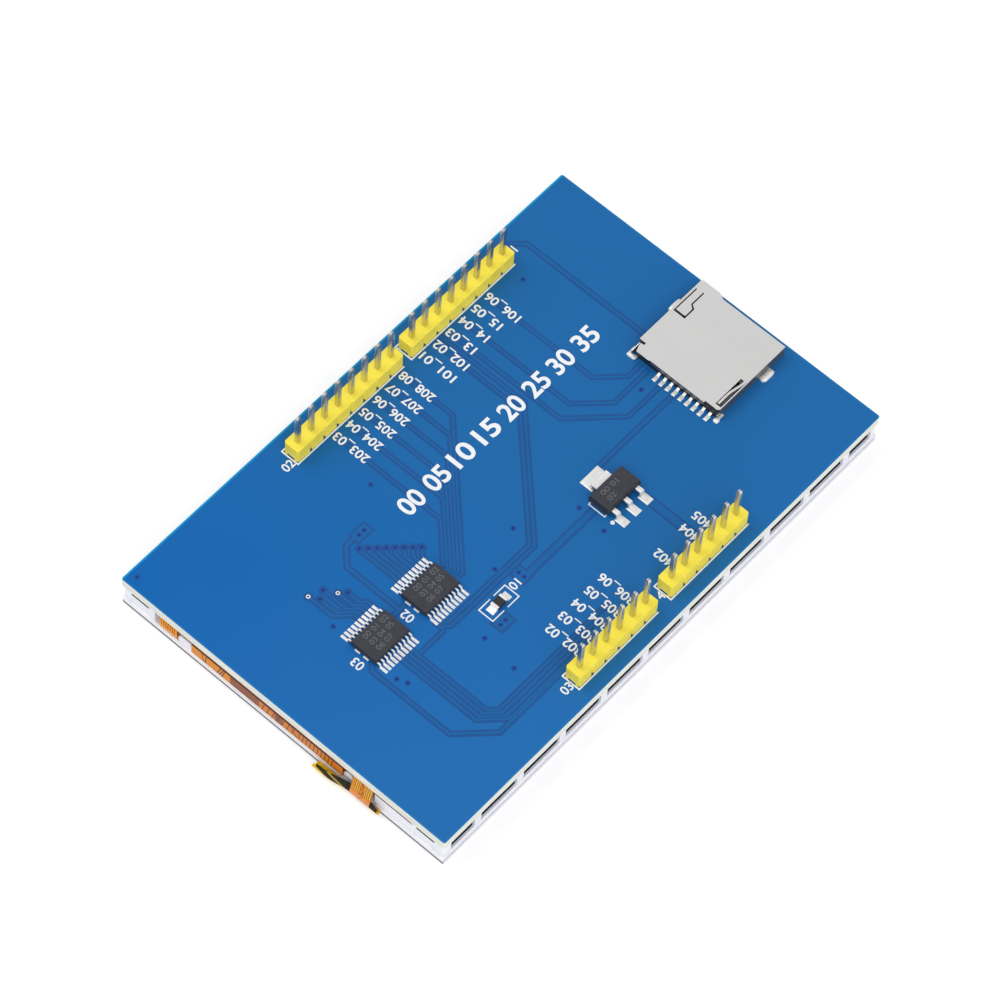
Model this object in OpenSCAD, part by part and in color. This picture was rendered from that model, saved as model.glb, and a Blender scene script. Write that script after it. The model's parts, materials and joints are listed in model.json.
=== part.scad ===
// 3.5 inch colour display shield: a printed circuit board on the back of a resistive touch
// display, lying on its touch face with the pin headers up. All lengths in millimetres.
//
// +X runs along the long side, from the flex cable edge to the card socket edge.
// +Y points to the two longer pin rows. Z = 0 is the touch face.

/* [Board] */
// Length of the board along X
board_length = 85; // [83:0.5:90]
// Width of the board along Y
board_width = 55.3; // [54.5:0.1:60]
// Thickness of the board
board_thickness = 1.6; // [1:0.1:2.4]
// Radius of the board's corners
board_corner = 0.3; // [0.1:0.1:1]

/* [Pin headers] */
// Distance between neighbouring pins
pin_pitch = 2.54; // [2.5:0.01:2.6]
// Distance between the pin rows at +Y and those at -Y
row_spacing = 48.26; // [46:0.01:48.8]
// Distance from the flex cable edge to the first pin of J2 and J3
row_start = 29.2; // [26:0.1:30]
// Distance from the first pin of J2 to the first pin of J1
long_row_step = 21.84; // [21.5:0.02:22.2]
// Distance from the first pin of J3 to the first pin of J4
short_row_step = 17.78; // [16.6:0.02:19]
// Side of the square pins
pin_width = 0.64; // [0.5:0.02:0.7]
// Height of the pins above their housing
pin_height = 5.8; // [4:0.1:9]
// Length of the tapered pin tip
pin_tip = 0.45; // [0.2:0.05:0.8]
// How far the pins pass through the board
pin_tail = 0.2; // [0.1:0.05:0.3]
// Diameter of the plated hole round each pin
pin_hole = 1.02; // [1:0.02:1.2]
// Width of the plastic housing
housing_width = 2.5; // [2.2:0.05:2.8]
// Height of the plastic housing
housing_height = 2.5; // [1.6:0.1:4]
// Depth of the notch between two housing segments
housing_notch = 0.24; // [0.1:0.02:0.5]
// Height of the channel under the housing
housing_channel = 0.35; // [0.2:0.05:0.6]

/* [Level shifters] */
// Length of the 20-pin chip body along its leads
chip_length = 6.5; // [6.3:0.05:6.7]
// Width of the chip body
chip_width = 4.4; // [4.2:0.05:4.6]
// Height of the chip above the board
chip_height = 1.1; // [0.9:0.05:1.4]
// Distance between the tips of opposite leads
chip_lead_span = 6.4; // [6.1:0.05:6.8]
// Distance between neighbouring leads
chip_lead_pitch = 0.65; // [0.6:0.01:0.66]
// Distance of chip U2 from the flex cable edge
u2_from_edge = 25.45; // [24.5:0.05:26]
// Distance of chip U3 from the flex cable edge
u3_from_edge = 15.95; // [14:0.05:17]
// Place of both chips across the board
chips_y = -2.3; // [-6:0.1:4]

/* [Regulator and resistor] */
// Length of the voltage regulator's body along X
regulator_length = 6.5; // [6.2:0.1:6.8]
// Width of the voltage regulator's body
regulator_width = 3.5; // [3.3:0.1:3.7]
// Height of the voltage regulator
regulator_height = 1.7; // [1.5:0.05:1.9]
// Distance between the tips of its leads and of its tab
regulator_span = 7.2; // [6.8:0.1:7.6]
// Distance between its three leads
regulator_pitch = 2.3; // [2.1:0.05:2.4]
// Place of the regulator across the board
regulator_y = -10; // [-13:0.1:-8.6]
// Distance of the regulator from the flex cable edge
regulator_from_edge = 52.35; // [48:0.05:56]
// Length of the chip resistor
resistor_length = 2; // [1.8:0.1:2.2]
// Width of the chip resistor
resistor_width = 1.25; // [1.1:0.05:1.4]
// Height of the chip resistor
resistor_height = 0.5; // [0.4:0.05:0.7]
// Distance of the resistor from the flex cable edge
resistor_from_edge = 30.15; // [29.5:0.05:32]
// Place of the resistor across the board
resistor_y = -9.85; // [-12:0.05:-8]

/* [Card socket] */
// Width of the sheet metal shell
socket_width = 14.8; // [14.4:0.1:15.4]
// Length of the shell from its mouth to its rear edge
socket_length = 13.9; // [13.6:0.1:14.6]
// Height of the socket
socket_height = 1.85; // [1.75:0.05:2.1]
// Thickness of the shell's sheet metal
sheet = 0.18; // [0.12:0.01:0.22]
// Distance from the mouth to the board's edge
socket_setback = 1.3; // [1:0.05:3]
// Place of the socket across the board
socket_y = -4.95; // [-8:0.05:0]
// Width of the bay that takes the card
card_bay = 11.2; // [11.1:0.05:11.3]
// Distance between neighbouring card contacts
contact_pitch = 1.1; // [1.05:0.01:1.12]
// Width of a card contact
contact_width = 0.4; // [0.3:0.02:0.5]
// Travel of the push-push slider
slider_travel = 4; // [3:0.1:4.2]
// Running clearance round the slider
slider_clearance = 0.06; // [0.04:0.01:0.08]
// Wire diameter of the eject spring
spring_wire = 0.12; // [0.08:0.01:0.14]
// Outer diameter of the eject spring
spring_diameter = 0.56; // [0.45:0.01:0.6]
// Number of turns of the eject spring
spring_turns = 12; // [8:1:14]
// Diameter of the cam follower's wire
follower_wire = 0.2; // [0.14:0.01:0.22]

/* [Display] */
// Gap between the edge of the board and the edge of the display
display_inset = 0.08; // [0.02:0.01:0.5]
// Gap between the edge of the board and the edge of the touch panel
touch_inset = 0.03; // [0:0.01:0.4]
// Thickness of the touch panel's outer film
touch_film_t = 0.2; // [0.12:0.01:0.3]
// Thickness of the ring that holds the film off the glass
touch_gasket_t = 0.25; // [0.2:0.01:0.35]
// Thickness of the touch panel's glass
touch_glass_t = 0.6; // [0.5:0.05:1.1]
// Thickness of the tape between touch panel and display
panel_tape_t = 0.2; // [0.18:0.01:0.5]
// Thickness of each polarizer
polarizer_t = 0.15; // [0.1:0.01:0.17]
// Thickness of each sheet of display glass
glass_t = 0.5; // [0.45:0.05:0.6]
// Thickness of each optical film
film_t = 0.15; // [0.08:0.01:0.2]
// Thickness of the light guide
light_guide_t = 0.7; // [0.65:0.05:1]
// Thickness of the reflector behind the light guide
reflector_t = 0.1; // [0.06:0.01:0.2]
// Thickness of the black shield behind the backlight
shield_t = 0.15; // [0.08:0.01:0.2]
// Thickness of the foam tape between display and board
mounting_tape_t = 0.45; // [0.4:0.05:0.8]
// Width of each strip of foam tape
mounting_tape_width = 8; // [4:0.5:12]
// Distance between the two strips of foam tape
mounting_tape_spacing = 28; // [20:1:36]
// Distance from the edge of the front glass to the edge of the front polarizer
polarizer_border = 0.8; // [0.5:0.05:1.5]
// Wall of the backlight frame along the long sides
frame_wall = 1.8; // [1.6:0.05:2]
// Wall of the backlight frame along the short sides
frame_end_wall = 2.2; // [2.1:0.05:2.4]
// Radius of the backlight frame's corners
frame_corner = 0.8; // [0.3:0.05:1]
// Height of the frame's lower rim above the panel tape
frame_rim = 0.65; // [0.62:0.01:0.9]
// How far the frame's rim and walls stand back behind its ribs
rim_setback = 0.05; // [0.02:0.01:0.2]
// How far the frame's upper walls stand back behind its rim
wall_setback = 0.44; // [0.36:0.01:0.5]
// Distance between the ribs on the frame's long sides
rib_pitch = 8; // [7:0.1:8.2]
// Width of each rib
rib_width = 1.2; // [0.8:0.05:1.6]

/* [Flex cables] */
// Thickness of the polyimide cables
flex_t = 0.12; // [0.08:0.01:0.14]
// Width of the display cable where it wraps round the edge
main_flex_width = 25.9; // [24:0.1:26]
// How far the display cable bulges out past the board's edge
main_flex_bulge = 0.1; // [0.05:0.01:0.3]
// Width of the touch panel's cable
touch_flex_width = 3.3; // [2.5:0.1:3.4]
// How far the touch panel's cable bulges out past the board's edge
touch_flex_bulge = 0.7; // [0.5:0.05:1.2]
// How much further its free flap bulges out
touch_flap_flare = 0.5; // [0:0.05:0.6]

/* [Hidden] */
$fn = 32;
eps = 0.01;

// Heights of the stack, from the touch face up
gasket_z = touch_film_t;
touch_glass_z = gasket_z + touch_gasket_t;
panel_tape_z = touch_glass_z + touch_glass_t;
front_glass_z = panel_tape_z + panel_tape_t;
rear_glass_z = front_glass_z + glass_t;
rear_polarizer_z = rear_glass_z + glass_t;
prism_z = rear_polarizer_z + polarizer_t;
diffuser_z = prism_z + film_t;
guide_z = diffuser_z + film_t;
reflector_z = guide_z + light_guide_t;
shield_z = reflector_z + reflector_t;
tape_z = shield_z + shield_t;
board_z = tape_z + mounting_tape_t;
board_top = board_z + board_thickness;

// Display outline and its pockets
display_length = board_length - 2 * display_inset;
display_width = board_width - 2 * display_inset;
touch_length = board_length - 2 * touch_inset;
touch_width = board_width - 2 * touch_inset;
flex_edge = -board_length / 2;
display_edge = -display_length / 2;
pocket_length = display_length - 2 * frame_end_wall;
pocket_width = display_width - 2 * frame_wall;
glass_gap = 0.1;
glass_length = pocket_length - 2 * glass_gap;
glass_width = pocket_width - 2 * glass_gap;
glass_ledge = 3.6;
glass_shift = glass_ledge / 2;
front_glass_length = glass_length - glass_ledge;
polarizer_length = front_glass_length - 2 * polarizer_border;
polarizer_width = glass_width - 2 * polarizer_border;
tape_window_gap = 0.2;
tape_end_gap = 12;
window_wall = 0.9;
guide_length = pocket_length - 2 * window_wall - 2 * glass_gap;
guide_width = pocket_width - 2 * window_wall - 2 * glass_gap;
gasket_wall = 1.6;
rim_z = front_glass_z + frame_rim;
wall_inset = rim_setback + wall_setback;
tab_from_edge = 3.15;
tab_y = display_width / 2 - tab_from_edge;
tab_width = 3;

// Pieces along the flex cable edge, as places across the board
main_flex_y = 2.35;
led_flex_y = 19.4;
led_flex_width = 3;
led_flex_dip = 0.5;
comb_slits = 7;
comb_slit = 0.16;
comb_height = 1.5;
touch_flex_y = -14.1;
touch_flex_reach = 6;
touch_flap_high = -6.5;
touch_flap_low = -17.25;
opening_low = -16;
opening_high = 21.8;
flex_pad_low = -22;
flex_pad_high = 17.7;
flex_pad_length = 8;
flex_pad_lip = 0.3;
pad_overlap = 1.5;
fold_turn = 1.4;
thin_wall = 0.7;
frame_post = 1.4;
end_post = 5.7;
post_gap = 0.1;
post_low = front_glass_z + 0.15;

// Bends of the display cables: up outside the edge, then in under the board
cable_x = flex_edge - main_flex_bulge;
low_bend = 0.3;
top_bend = 0.5;

// Bends of the touch cable: out round the edge, then up and in under the board
bulge_r = 0.55;
tuck_r = 0.4;
lean = 165;
touch_flex_z = touch_glass_z - flex_t / 2;
touch_flex_top = touch_flex_y + touch_flex_width / 2;

// Driver chip on the ledge of the rear glass
driver_length = 22;
driver_width = 1.4;
driver_t = 0.4;
driver_setback = 2.3;

// Light bar at the cable end of the light guide
led_x = -guide_length / 2 - 0.45;
led_depth = 0.6;

// Pin rows: place of the first pin, number of pins
row_y = row_spacing / 2;
j2_x = flex_edge + row_start;
j1_x = j2_x + long_row_step;
j4_x = j2_x + short_row_step;
ROWS = [[j1_x, row_y, 8], [j2_x, row_y, 8], [j2_x, -row_y, 6], [j4_x, -row_y, 6]];

// Card socket, measured from the middle of its mouth
mouth_x = board_length / 2 - socket_setback;
lip = 0.5;
half_shell = socket_width / 2;
half_bay = card_bay / 2;
shell_under = socket_height - sheet;
base_floor = 0.45;
base_lift = 0.05;
base_rear = -socket_length + 0.3;
rear_block = 1.3;
block_front = base_rear + rear_block;
base_side = half_shell - sheet;
slider_out = base_side - slider_clearance;
slider_in = half_bay + 0.2;
slider_low = base_floor + slider_clearance;
slider_high = shell_under - slider_clearance;
slider_front = -2.8;
slider_length = 5.4;
shoulder = 1.5;
spring_y = -(slider_in + spring_diameter / 2);
spring_z = (slider_low + slider_high) / 2;
cam_y = -(slider_out - 0.32);
follower_z = shell_under - 0.2 - follower_wire / 2;
follower_tip = slider_front - slider_length + 0.6;
follower_root = block_front - 0.35;
contact_t = 0.15;
contact_count = 8;
first_contact = 2.5;
contact_foot = 0.85;
contact_seat = 0.22;
beam_reach = 3.6;
beam_rise = 0.9;
slot_margin = 1;
slot_front = -7.75;
slot_rear = -12.9;
slot_width = 0.9;

// End caps of the chip resistor
cap_t = 0.05;
cap_length = 0.38;

// ---------------------------------------------------------------- shared shapes

// Flat rectangle with round corners, centred on the origin
module round_rect(length, width, r) {
    square([length - 2 * r, width], center = true);
    square([length, width - 2 * r], center = true);
    for (sx = [-1, 1], sy = [-1, 1])
        translate([sx * (length / 2 - r), sy * (width / 2 - r)]) circle(r);
}

// Sheet of a stack: a rectangle of the given thickness on a height
module sheet_at(z, t, length, width, r = 0.2) {
    translate([0, 0, z]) linear_extrude(t) round_rect(length, width, r);
}

// Block from low to high corner
module block(low, high) {
    translate(low) cube(high - low);
}

// Solid with a profile in the XZ plane, running along Y from y0 to y1
module along_y(y0, y1) {
    translate([0, y1, 0]) rotate([90, 0, 0]) linear_extrude(y1 - y0) children();
}

// Solid with a profile in the YZ plane, running along X from x0 to x1
module along_x(x0, x1) {
    translate([x0, 0, 0]) rotate([90, 0, 90]) linear_extrude(x1 - x0) children();
}

// Moulded package: its sides slope in above and below a parting line
module package(length, width, low, high, slope) {
    mid = (low + high) / 2;
    intersection() {
        along_y(-width, width) package_side(length, low, mid, high, slope);
        along_x(-length, length) package_side(width, low, mid, high, slope);
    }
}

module package_side(size, low, mid, high, slope) {
    h = size / 2;
    polygon([
        [-h + slope, low], [h - slope, low], [h, mid],
        [h - slope, high], [-h + slope, high], [-h, mid]
    ]);
}

// Gull wing lead in the XZ plane: out from the body, down, and along the board
module gull_wing(root, tip, height, foot, t) {
    polygon([
        [root, height], [root, height - t], [tip - foot - 0.8 * t, height - t],
        [tip - foot, 0], [tip, 0], [tip, t], [tip - foot + t, t], [tip - foot + 0.2 * t, height]
    ]);
}

// Points on an arc
function arc(centre, r, from, to, steps) = [
    for (i = [0:steps]) let (a = from + (to - from) * i / steps) centre + r * [cos(a), sin(a)]
];

// ---------------------------------------------------------------- board

module board() {
    color("royalblue") translate([0, 0, board_z]) linear_extrude(board_thickness) difference() {
        round_rect(board_length, board_width, board_corner);
        for (row = ROWS, k = [0:row[2] - 1])
            translate([row[0] + k * pin_pitch, row[1]]) circle(d = pin_hole);
    }
}

// ---------------------------------------------------------------- pin headers

// Outline of a header: a chain of segments with bevelled corners
module header_outline(count) {
    first = -pin_pitch / 2;
    last = (count - 0.5) * pin_pitch;
    difference() {
        translate([first, -housing_width / 2]) square([last - first, housing_width]);
        for (k = [0:count], s = [-1, 1]) translate([first + k * pin_pitch, s * housing_width / 2])
            polygon([[-housing_notch, 0], [0, -housing_notch], [housing_notch, 0], [0, housing_notch]]);
    }
}

module header(row) {
    count = row[2];
    channel = housing_width / 2;
    color("gold") translate([row[0], row[1], board_top]) difference() {
        linear_extrude(housing_height) difference() {
            header_outline(count);
            for (k = [0:count - 1])
                translate([k * pin_pitch, 0]) square(pin_width, center = true);
        }
        block([-pin_pitch, -channel / 2, -eps], [count * pin_pitch, channel / 2, housing_channel]);
        for (k = [1:count - 1]) translate([(k - 0.5) * pin_pitch, 0, 0])
            block([-0.25, -housing_width, -eps], [0.25, housing_width, housing_channel]);
    }
}

// One square pin: its top end tapers on all four sides
module pin() {
    half = pin_width / 2;
    low = board_z - pin_tail;
    high = board_top + housing_height + pin_height;
    intersection() {
        along_y(-half, half) pin_side(half, low, high);
        along_x(-half, half) pin_side(half, low, high);
    }
}

module pin_side(half, low, high) {
    tip = half / 2;
    polygon([
        [-half, low], [half, low], [half, high - pin_tip],
        [tip, high], [-tip, high], [-half, high - pin_tip]
    ]);
}

module pins(row) {
    color("silver") for (k = [0:row[2] - 1]) translate([row[0] + k * pin_pitch, row[1], 0]) pin();
}

// Solder that fills the plated hole round each pin, with a fillet on the display side
module pin_solder() {
    color("lightgray") for (row = ROWS, k = [0:row[2] - 1])
        translate([row[0] + k * pin_pitch, row[1], 0]) difference() {
            rotate_extrude($fn = 16) polygon([
                [0, board_z - pin_tail], [pin_width * 0.75, board_z - pin_tail], [pin_hole * 0.75, board_z],
                [pin_hole / 2, board_z], [pin_hole / 2, board_top], [0, board_top]
            ]);
            translate([0, 0, board_z + board_thickness / 2])
                cube([pin_width, pin_width, board_thickness + 4 * pin_tail], center = true);
        }
}

// ---------------------------------------------------------------- chips

module chip_place(from_edge) {
    translate([flex_edge + from_edge, chips_y, board_top]) children();
}

module chip(from_edge) {
    dimple = 0.8;
    color("dimgray") chip_place(from_edge) difference() {
        package(chip_length, chip_width, 0.1, chip_height, 0.12);
        translate([-chip_length / 2 + 0.9, -chip_width / 2 + 0.9, chip_height - 0.06]) cylinder(d = dimple, h = 1);
    }
}

module chip_leads(from_edge) {
    per_side = 10;
    width = 0.24;
    color("silver") chip_place(from_edge)
        for (side = [0, 180], k = [0:per_side - 1])
            rotate(side) translate([(k - (per_side - 1) / 2) * chip_lead_pitch, 0, 0]) rotate(90)
                along_y(-width / 2, width / 2)
                    gull_wing(chip_width / 2, chip_lead_span / 2, chip_height / 2 + 0.125, 0.5, 0.15);
}

module regulator_place() {
    translate([flex_edge + regulator_from_edge, regulator_y, board_top]) children();
}

module regulator() {
    color("dimgray") regulator_place()
        package(regulator_length, regulator_width, 0.05, regulator_height, 0.18);
}

module regulator_wing(width) {
    t = 0.28;
    along_y(-width / 2, width / 2)
        gull_wing(regulator_width / 2, regulator_span / 2, regulator_height / 2 + t, 0.9, t);
}

module regulator_leads() {
    color("silver") regulator_place()
        for (k = [-1:1]) translate([k * regulator_pitch, 0, 0]) rotate(-90) regulator_wing(0.72);
}

module regulator_tab() {
    color("silver") regulator_place() rotate(90) regulator_wing(3);
}

module resistor_place() {
    translate([flex_edge + resistor_from_edge, resistor_y, board_top]) children();
}

module resistor() {
    color("black") resistor_place() translate([0, 0, cap_t + resistor_height / 2])
        cube([resistor_length - 2 * cap_t, resistor_width, resistor_height], center = true);
}

module resistor_caps() {
    color("silver") resistor_place() for (side = [0, 180]) rotate(side) difference() {
        block([resistor_length / 2 - cap_length, -resistor_width / 2, 0],
              [resistor_length / 2, resistor_width / 2, resistor_height + 2 * cap_t]);
        block([0, -resistor_width, cap_t], [resistor_length / 2 - cap_t, resistor_width, cap_t + resistor_height]);
    }
}

// ---------------------------------------------------------------- card socket

module socket_place() {
    translate([mouth_x, socket_y, board_top]) children();
}

// Top plate of the shell: a stepped mouth, a cut corner and a set-back rear corner
module shell_plate() {
    rear = -socket_length;
    polygon([
        [0, -half_shell], [0, half_shell - 4.1], [lip, half_shell - 3.1], [lip, half_shell - 0.25],
        [lip - 0.25, half_shell], [rear + 1.8, half_shell], [rear + 1.8, half_shell - 1.1],
        [rear + 1.4, half_shell - 1.1], [rear + 1.4, half_shell - 0.6], [rear + 1, half_shell - 0.6],
        [rear, half_shell - 0.95], [rear, half_shell - 3.1], [rear + 0.12, half_shell - 3.2],
        [rear + 0.12, -half_shell + 2.3], [rear + 0.4, -half_shell + 2.3],
        [rear + 0.4, -half_shell + 0.3], [rear + 0.7, -half_shell]
    ]);
}

// Slit that frees the card brake tongue: along its side, round its tip and back
module tongue_slit() {
    translate([0, half_shell]) polygon([
        [-1.1, -0.32], [-5.75, -0.32], [-5.75, -2.3], [-3.8, -2.3], [-3.35, -1.65], [-1, -1.65],
        [-1, -1.45], [-3.45, -1.45], [-3.95, -2.08], [-5.4, -2.08], [-5.4, -0.5], [-1.1, -0.5]
    ]);
}

// Curved leaf spring that lies in the shell's slot and presses on the cam follower
module leaf_spring() {
    steps = 16;
    length = slot_front - slot_rear - 0.25;
    width = 0.34;
    function centre(i) = let (s = i / steps)
        [slot_front - s * length, -half_shell + sheet + 0.2 + 0.42 * (1 - cos(180 * min(1, 1.6 * s))) / 2];
    polygon(concat(
        [for (i = [0:steps]) centre(i) + [i == 0 ? 0.2 : 0, width / 2]],
        [for (i = [steps:-1:0]) centre(i) + [i == 0 ? 0.2 : 0, -width / 2]]
    ));
}

// Side wall of the shell on the side s, from x0 to x1 and from low to high
module shell_wall(s, x0, x1, low, high) {
    middle = half_shell - sheet / 2;
    translate([x0, s * middle - sheet / 2, low]) cube([x1 - x0, sheet, high - low]);
}

// Solder foot on the side s: a flat strip from x0 to x1 along the board
module solder_foot(x0, x1, s, inner, outer) {
    translate([x0, s * (inner + outer) / 2 - (outer - inner) / 2, 0]) cube([x1 - x0, outer - inner, sheet]);
}

module socket_shell() {
    rear = -socket_length;
    color("gainsboro") socket_place() {
        translate([0, 0, shell_under]) linear_extrude(sheet) difference() {
            shell_plate();
            tongue_slit();
            translate([slot_rear, -half_shell + sheet]) square([slot_front - slot_rear, slot_width]);
        }
        translate([0, 0, shell_under]) linear_extrude(sheet) leaf_spring();
        shell_wall(1, rear + 1.85, lip - 0.3, base_lift, shell_under + sheet / 2);
        shell_wall(-1, rear + 0.75, -0.05, base_lift, shell_under + sheet / 2);
        block([base_rear - sheet, -half_shell + 2.4, socket_height - 0.75],
              [base_rear, half_shell - 3.3, shell_under + sheet / 2]);
        for (s = [-1, 1]) {
            shell_wall(s, rear + 0.2, rear + 2, 0, 0.8);
            solder_foot(-5.2, -3, s, half_shell - sheet / 2, half_shell + 0.9);
            solder_foot(rear - 0.3, rear + 1.3, s, half_shell - sheet / 2, half_shell + 0.35);
        }
        solder_foot(rear - 0.3, base_rear, 1, half_shell - 1.1, half_shell);
        solder_foot(rear - 0.3, base_rear, -1, half_shell - 0.3, half_shell);
    }
}

module contact_slots(extra) {
    for (k = [0:contact_count - 1])
        translate([0, contact_y(k), 0])
            block([block_front - 0.2, -contact_width / 2 - extra, -eps],
                  [block_front + beam_reach + slot_margin, contact_width / 2 + extra, base_floor + eps]);
}

function contact_y(k) = first_contact - k * contact_pitch;

module socket_base() {
    color("black") socket_place() difference() {
        union() {
            block([base_rear, -base_side, base_lift], [-0.6, base_side, base_floor]);
            block([base_rear, -base_side, base_lift], [block_front, base_side, shell_under]);
            block([block_front - eps, half_bay, base_lift], [-0.6, base_side, shell_under]);
            block([slider_front + 0.1, -base_side, base_lift], [-0.6, -half_bay - 0.15, shell_under]);
        }
        contact_slots(0.12);
        block([base_rear - eps, base_side - 0.7, 0], [base_rear + 1.6, base_side + eps, socket_height]);
        for (k = [0:contact_count]) translate([0, contact_y(k), 0])
            along_y(-contact_width / 2, contact_width / 2) contact_profile();
        block([follower_root - follower_wire / 2, cam_y - follower_wire / 2, follower_z - follower_wire / 2],
              [block_front + eps, cam_y + follower_wire / 2, shell_under + eps]);
        translate([follower_root, cam_y, follower_z - 0.5]) cylinder(d = follower_wire, h = 1);
    }
}

// Card contact seen from the side: solder foot, lead through the base and rising beam
module contact_profile() {
    foot = -socket_length - contact_foot;
    seat = contact_seat;
    tip = block_front + beam_reach;
    polygon([
        [foot, 0], [foot + contact_foot - 0.1, 0], [base_rear + 0.1, seat], [block_front, seat],
        [tip, beam_rise], [tip + 0.5, beam_rise - 0.2], [tip + 0.6, beam_rise - 0.1],
        [tip, beam_rise + contact_t], [block_front, seat + contact_t], [base_rear, seat + contact_t],
        [foot + contact_foot - contact_t, contact_t], [foot, contact_t]
    ]);
}

module card_contacts() {
    color("goldenrod") socket_place() for (k = [0:contact_count - 1]) translate([0, contact_y(k), 0])
        along_y(-contact_width / 2, contact_width / 2) contact_profile();
}

module detect_contact() {
    color("goldenrod") socket_place() translate([0, contact_y(contact_count), 0]) intersection() {
        along_y(-contact_width / 2, contact_width / 2) contact_profile();
        block([-2 * socket_length, -contact_pitch, 0], [block_front, contact_pitch, socket_height]);
    }
}

// Push-push slider: cam body with the follower's lane, spring shoulder and card hook
module card_slider() {
    rear = slider_front - slider_length;
    cam_in = -(slider_in + spring_diameter + slider_clearance);
    lane = follower_wire + 2 * slider_clearance;
    color("ivory") socket_place() difference() {
        union() {
            block([rear, -slider_out, slider_low], [slider_front, cam_in, slider_high]);
            block([slider_front - shoulder, -slider_out, slider_low], [slider_front, -slider_in, slider_high]);
            block([slider_front - shoulder + 0.3, -slider_in - eps, 0.75],
                  [slider_front - 0.4, -half_bay + 0.4, 1.3]);
        }
        block([rear - 1, cam_y - lane / 2, follower_z - follower_wire / 2 - 0.12],
              [slider_front - 0.5, cam_y + lane / 2, socket_height]);
    }
}

// Helical wire along X, as rings swept round the spring's axis
module coil(length, radius, wire, turns) {
    per_turn = 10;
    sides = 6;
    rings = turns * per_turn;
    function ring_point(i, j) =
        let (a = 360 * i / per_turn, b = 360 * j / sides, r = radius + wire / 2 * cos(b))
        [wire / 2 + (length - wire) * i / rings + wire / 2 * sin(b), r * cos(a), r * sin(a)];
    polyhedron(
        points = [for (i = [0:rings], j = [0:sides - 1]) ring_point(i, j)],
        faces = concat(
            [[for (j = [0:sides - 1]) j]],
            [for (i = [0:rings - 1], j = [0:sides - 1]) let (n = (j + 1) % sides)
                [i * sides + j, (i + 1) * sides + j, (i + 1) * sides + n, i * sides + n]],
            [[for (j = [sides - 1:-1:0]) rings * sides + j]]
        )
    );
}

module eject_spring() {
    length = slider_front - shoulder - block_front - 0.02;
    color("silver") socket_place() translate([block_front, spring_y, spring_z])
        coil(length, (spring_diameter - spring_wire) / 2, spring_wire, spring_turns);
}

// Cam follower: a wire with one end turned down into the base and one into the slider's lane
module cam_follower() {
    low = follower_z - follower_wire / 2;
    color("silver") socket_place() {
        translate([follower_root, cam_y, follower_z]) rotate([0, 90, 0])
            cylinder(d = follower_wire, h = follower_tip - follower_root);
        translate([follower_root, cam_y, follower_z - 0.5]) cylinder(d = follower_wire, h = 0.5);
        translate([follower_tip, cam_y, low - 0.06]) cylinder(d = follower_wire, h = follower_wire + 0.06);
    }
}

// ---------------------------------------------------------------- touch panel

module touch_film() {
    color("gray") sheet_at(0, touch_film_t, touch_length, touch_width);
}

module touch_gasket() {
    color("dimgray") translate([0, 0, gasket_z]) linear_extrude(touch_gasket_t) difference() {
        round_rect(touch_length, touch_width, 0.2);
        square([touch_length - 2 * gasket_wall, touch_width - 2 * gasket_wall], center = true);
        translate([-touch_length / 2 - eps, touch_flap_low])
            square([gasket_wall + 2 * eps, touch_flap_high - touch_flap_low]);
    }
}

module touch_glass() {
    color("aliceblue") sheet_at(touch_glass_z, touch_glass_t, touch_length, touch_width);
}

// Side view of the touch cable: bonded under the glass, out, round and up under the board
function touch_path(t, bulge) = let (
        out = [flex_edge - bulge + bulge_r, touch_flex_z + bulge_r],
        in_z = board_z - flex_t / 2 - tuck_r,
        in_x = out[0] - ((in_z - out[1]) * sin(lean) + tuck_r - bulge_r) / cos(lean)
    ) concat(
        [[-touch_length / 2 + gasket_wall, touch_flex_z - t]],
        arc(out, bulge_r + t, 270, lean, 12),
        arc([in_x, in_z], tuck_r + t, lean, 90, 8),
        [[display_edge + touch_flex_reach, board_z - flex_t / 2 + t]]
    );

// How far the touch cable bulges out at a place across the board
function touch_bulge(y) = let (s = max(0, min(1, (y - touch_flex_top) / 3.8)))
    touch_flex_bulge + touch_flap_flare * (1 - cos(180 * s)) / 2;

// Film of the touch cable over the full width of its flap
module touch_sheet() {
    rings = 24;
    step = (touch_flap_high - touch_flap_low) / rings;
    function ring(y) = let (inner = touch_path(-flex_t / 2, touch_bulge(y)))
        concat(touch_path(flex_t / 2, touch_bulge(y)), [for (i = [len(inner) - 1:-1:0]) inner[i]]);
    n = len(ring(0));
    polyhedron(
        points = [
            for (k = [0:rings]) let (y = touch_flap_low + k * step) for (q = ring(y)) [q[0], y, q[1]]
        ],
        faces = concat(
            [[for (i = [0:n - 1]) i]],
            [for (k = [0:rings - 1], i = [0:n - 1]) let (j = (i + 1) % n)
                [k * n + i, (k + 1) * n + i, (k + 1) * n + j, k * n + j]],
            [[for (i = [n - 1:-1:0]) rings * n + i]]
        )
    );
}

// Outline of the touch cable seen from the end: a neck between two round flaps
module touch_outline() {
    translate([touch_flex_top - touch_flex_width, 0]) square([touch_flex_width, board_z + 1]);
    hull() {
        translate([touch_flap_high - 0.9, 0.8]) circle(0.9);
        translate([touch_flex_top - 0.5, 0]) square([0.5, 2.3]);
    }
    hull() {
        translate([touch_flap_low + 0.8, 0.8]) circle(0.8);
        translate([touch_flex_top - touch_flex_width, 0]) square([0.5, 1.8]);
    }
}

module touch_flex() {
    color("orange") intersection() {
        touch_sheet();
        along_x(display_edge - 3, display_edge + 8) touch_outline();
    }
}

// ---------------------------------------------------------------- display glass

module panel_tape() {
    color("white") translate([0, 0, panel_tape_z]) linear_extrude(panel_tape_t) difference() {
        round_rect(display_length - 2 * rim_setback, display_width - 2 * rim_setback, 0.2);
        translate([glass_shift, 0])
            square([polarizer_length, polarizer_width] + 2 * tape_window_gap * [1, 1], center = true);
    }
}

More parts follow.
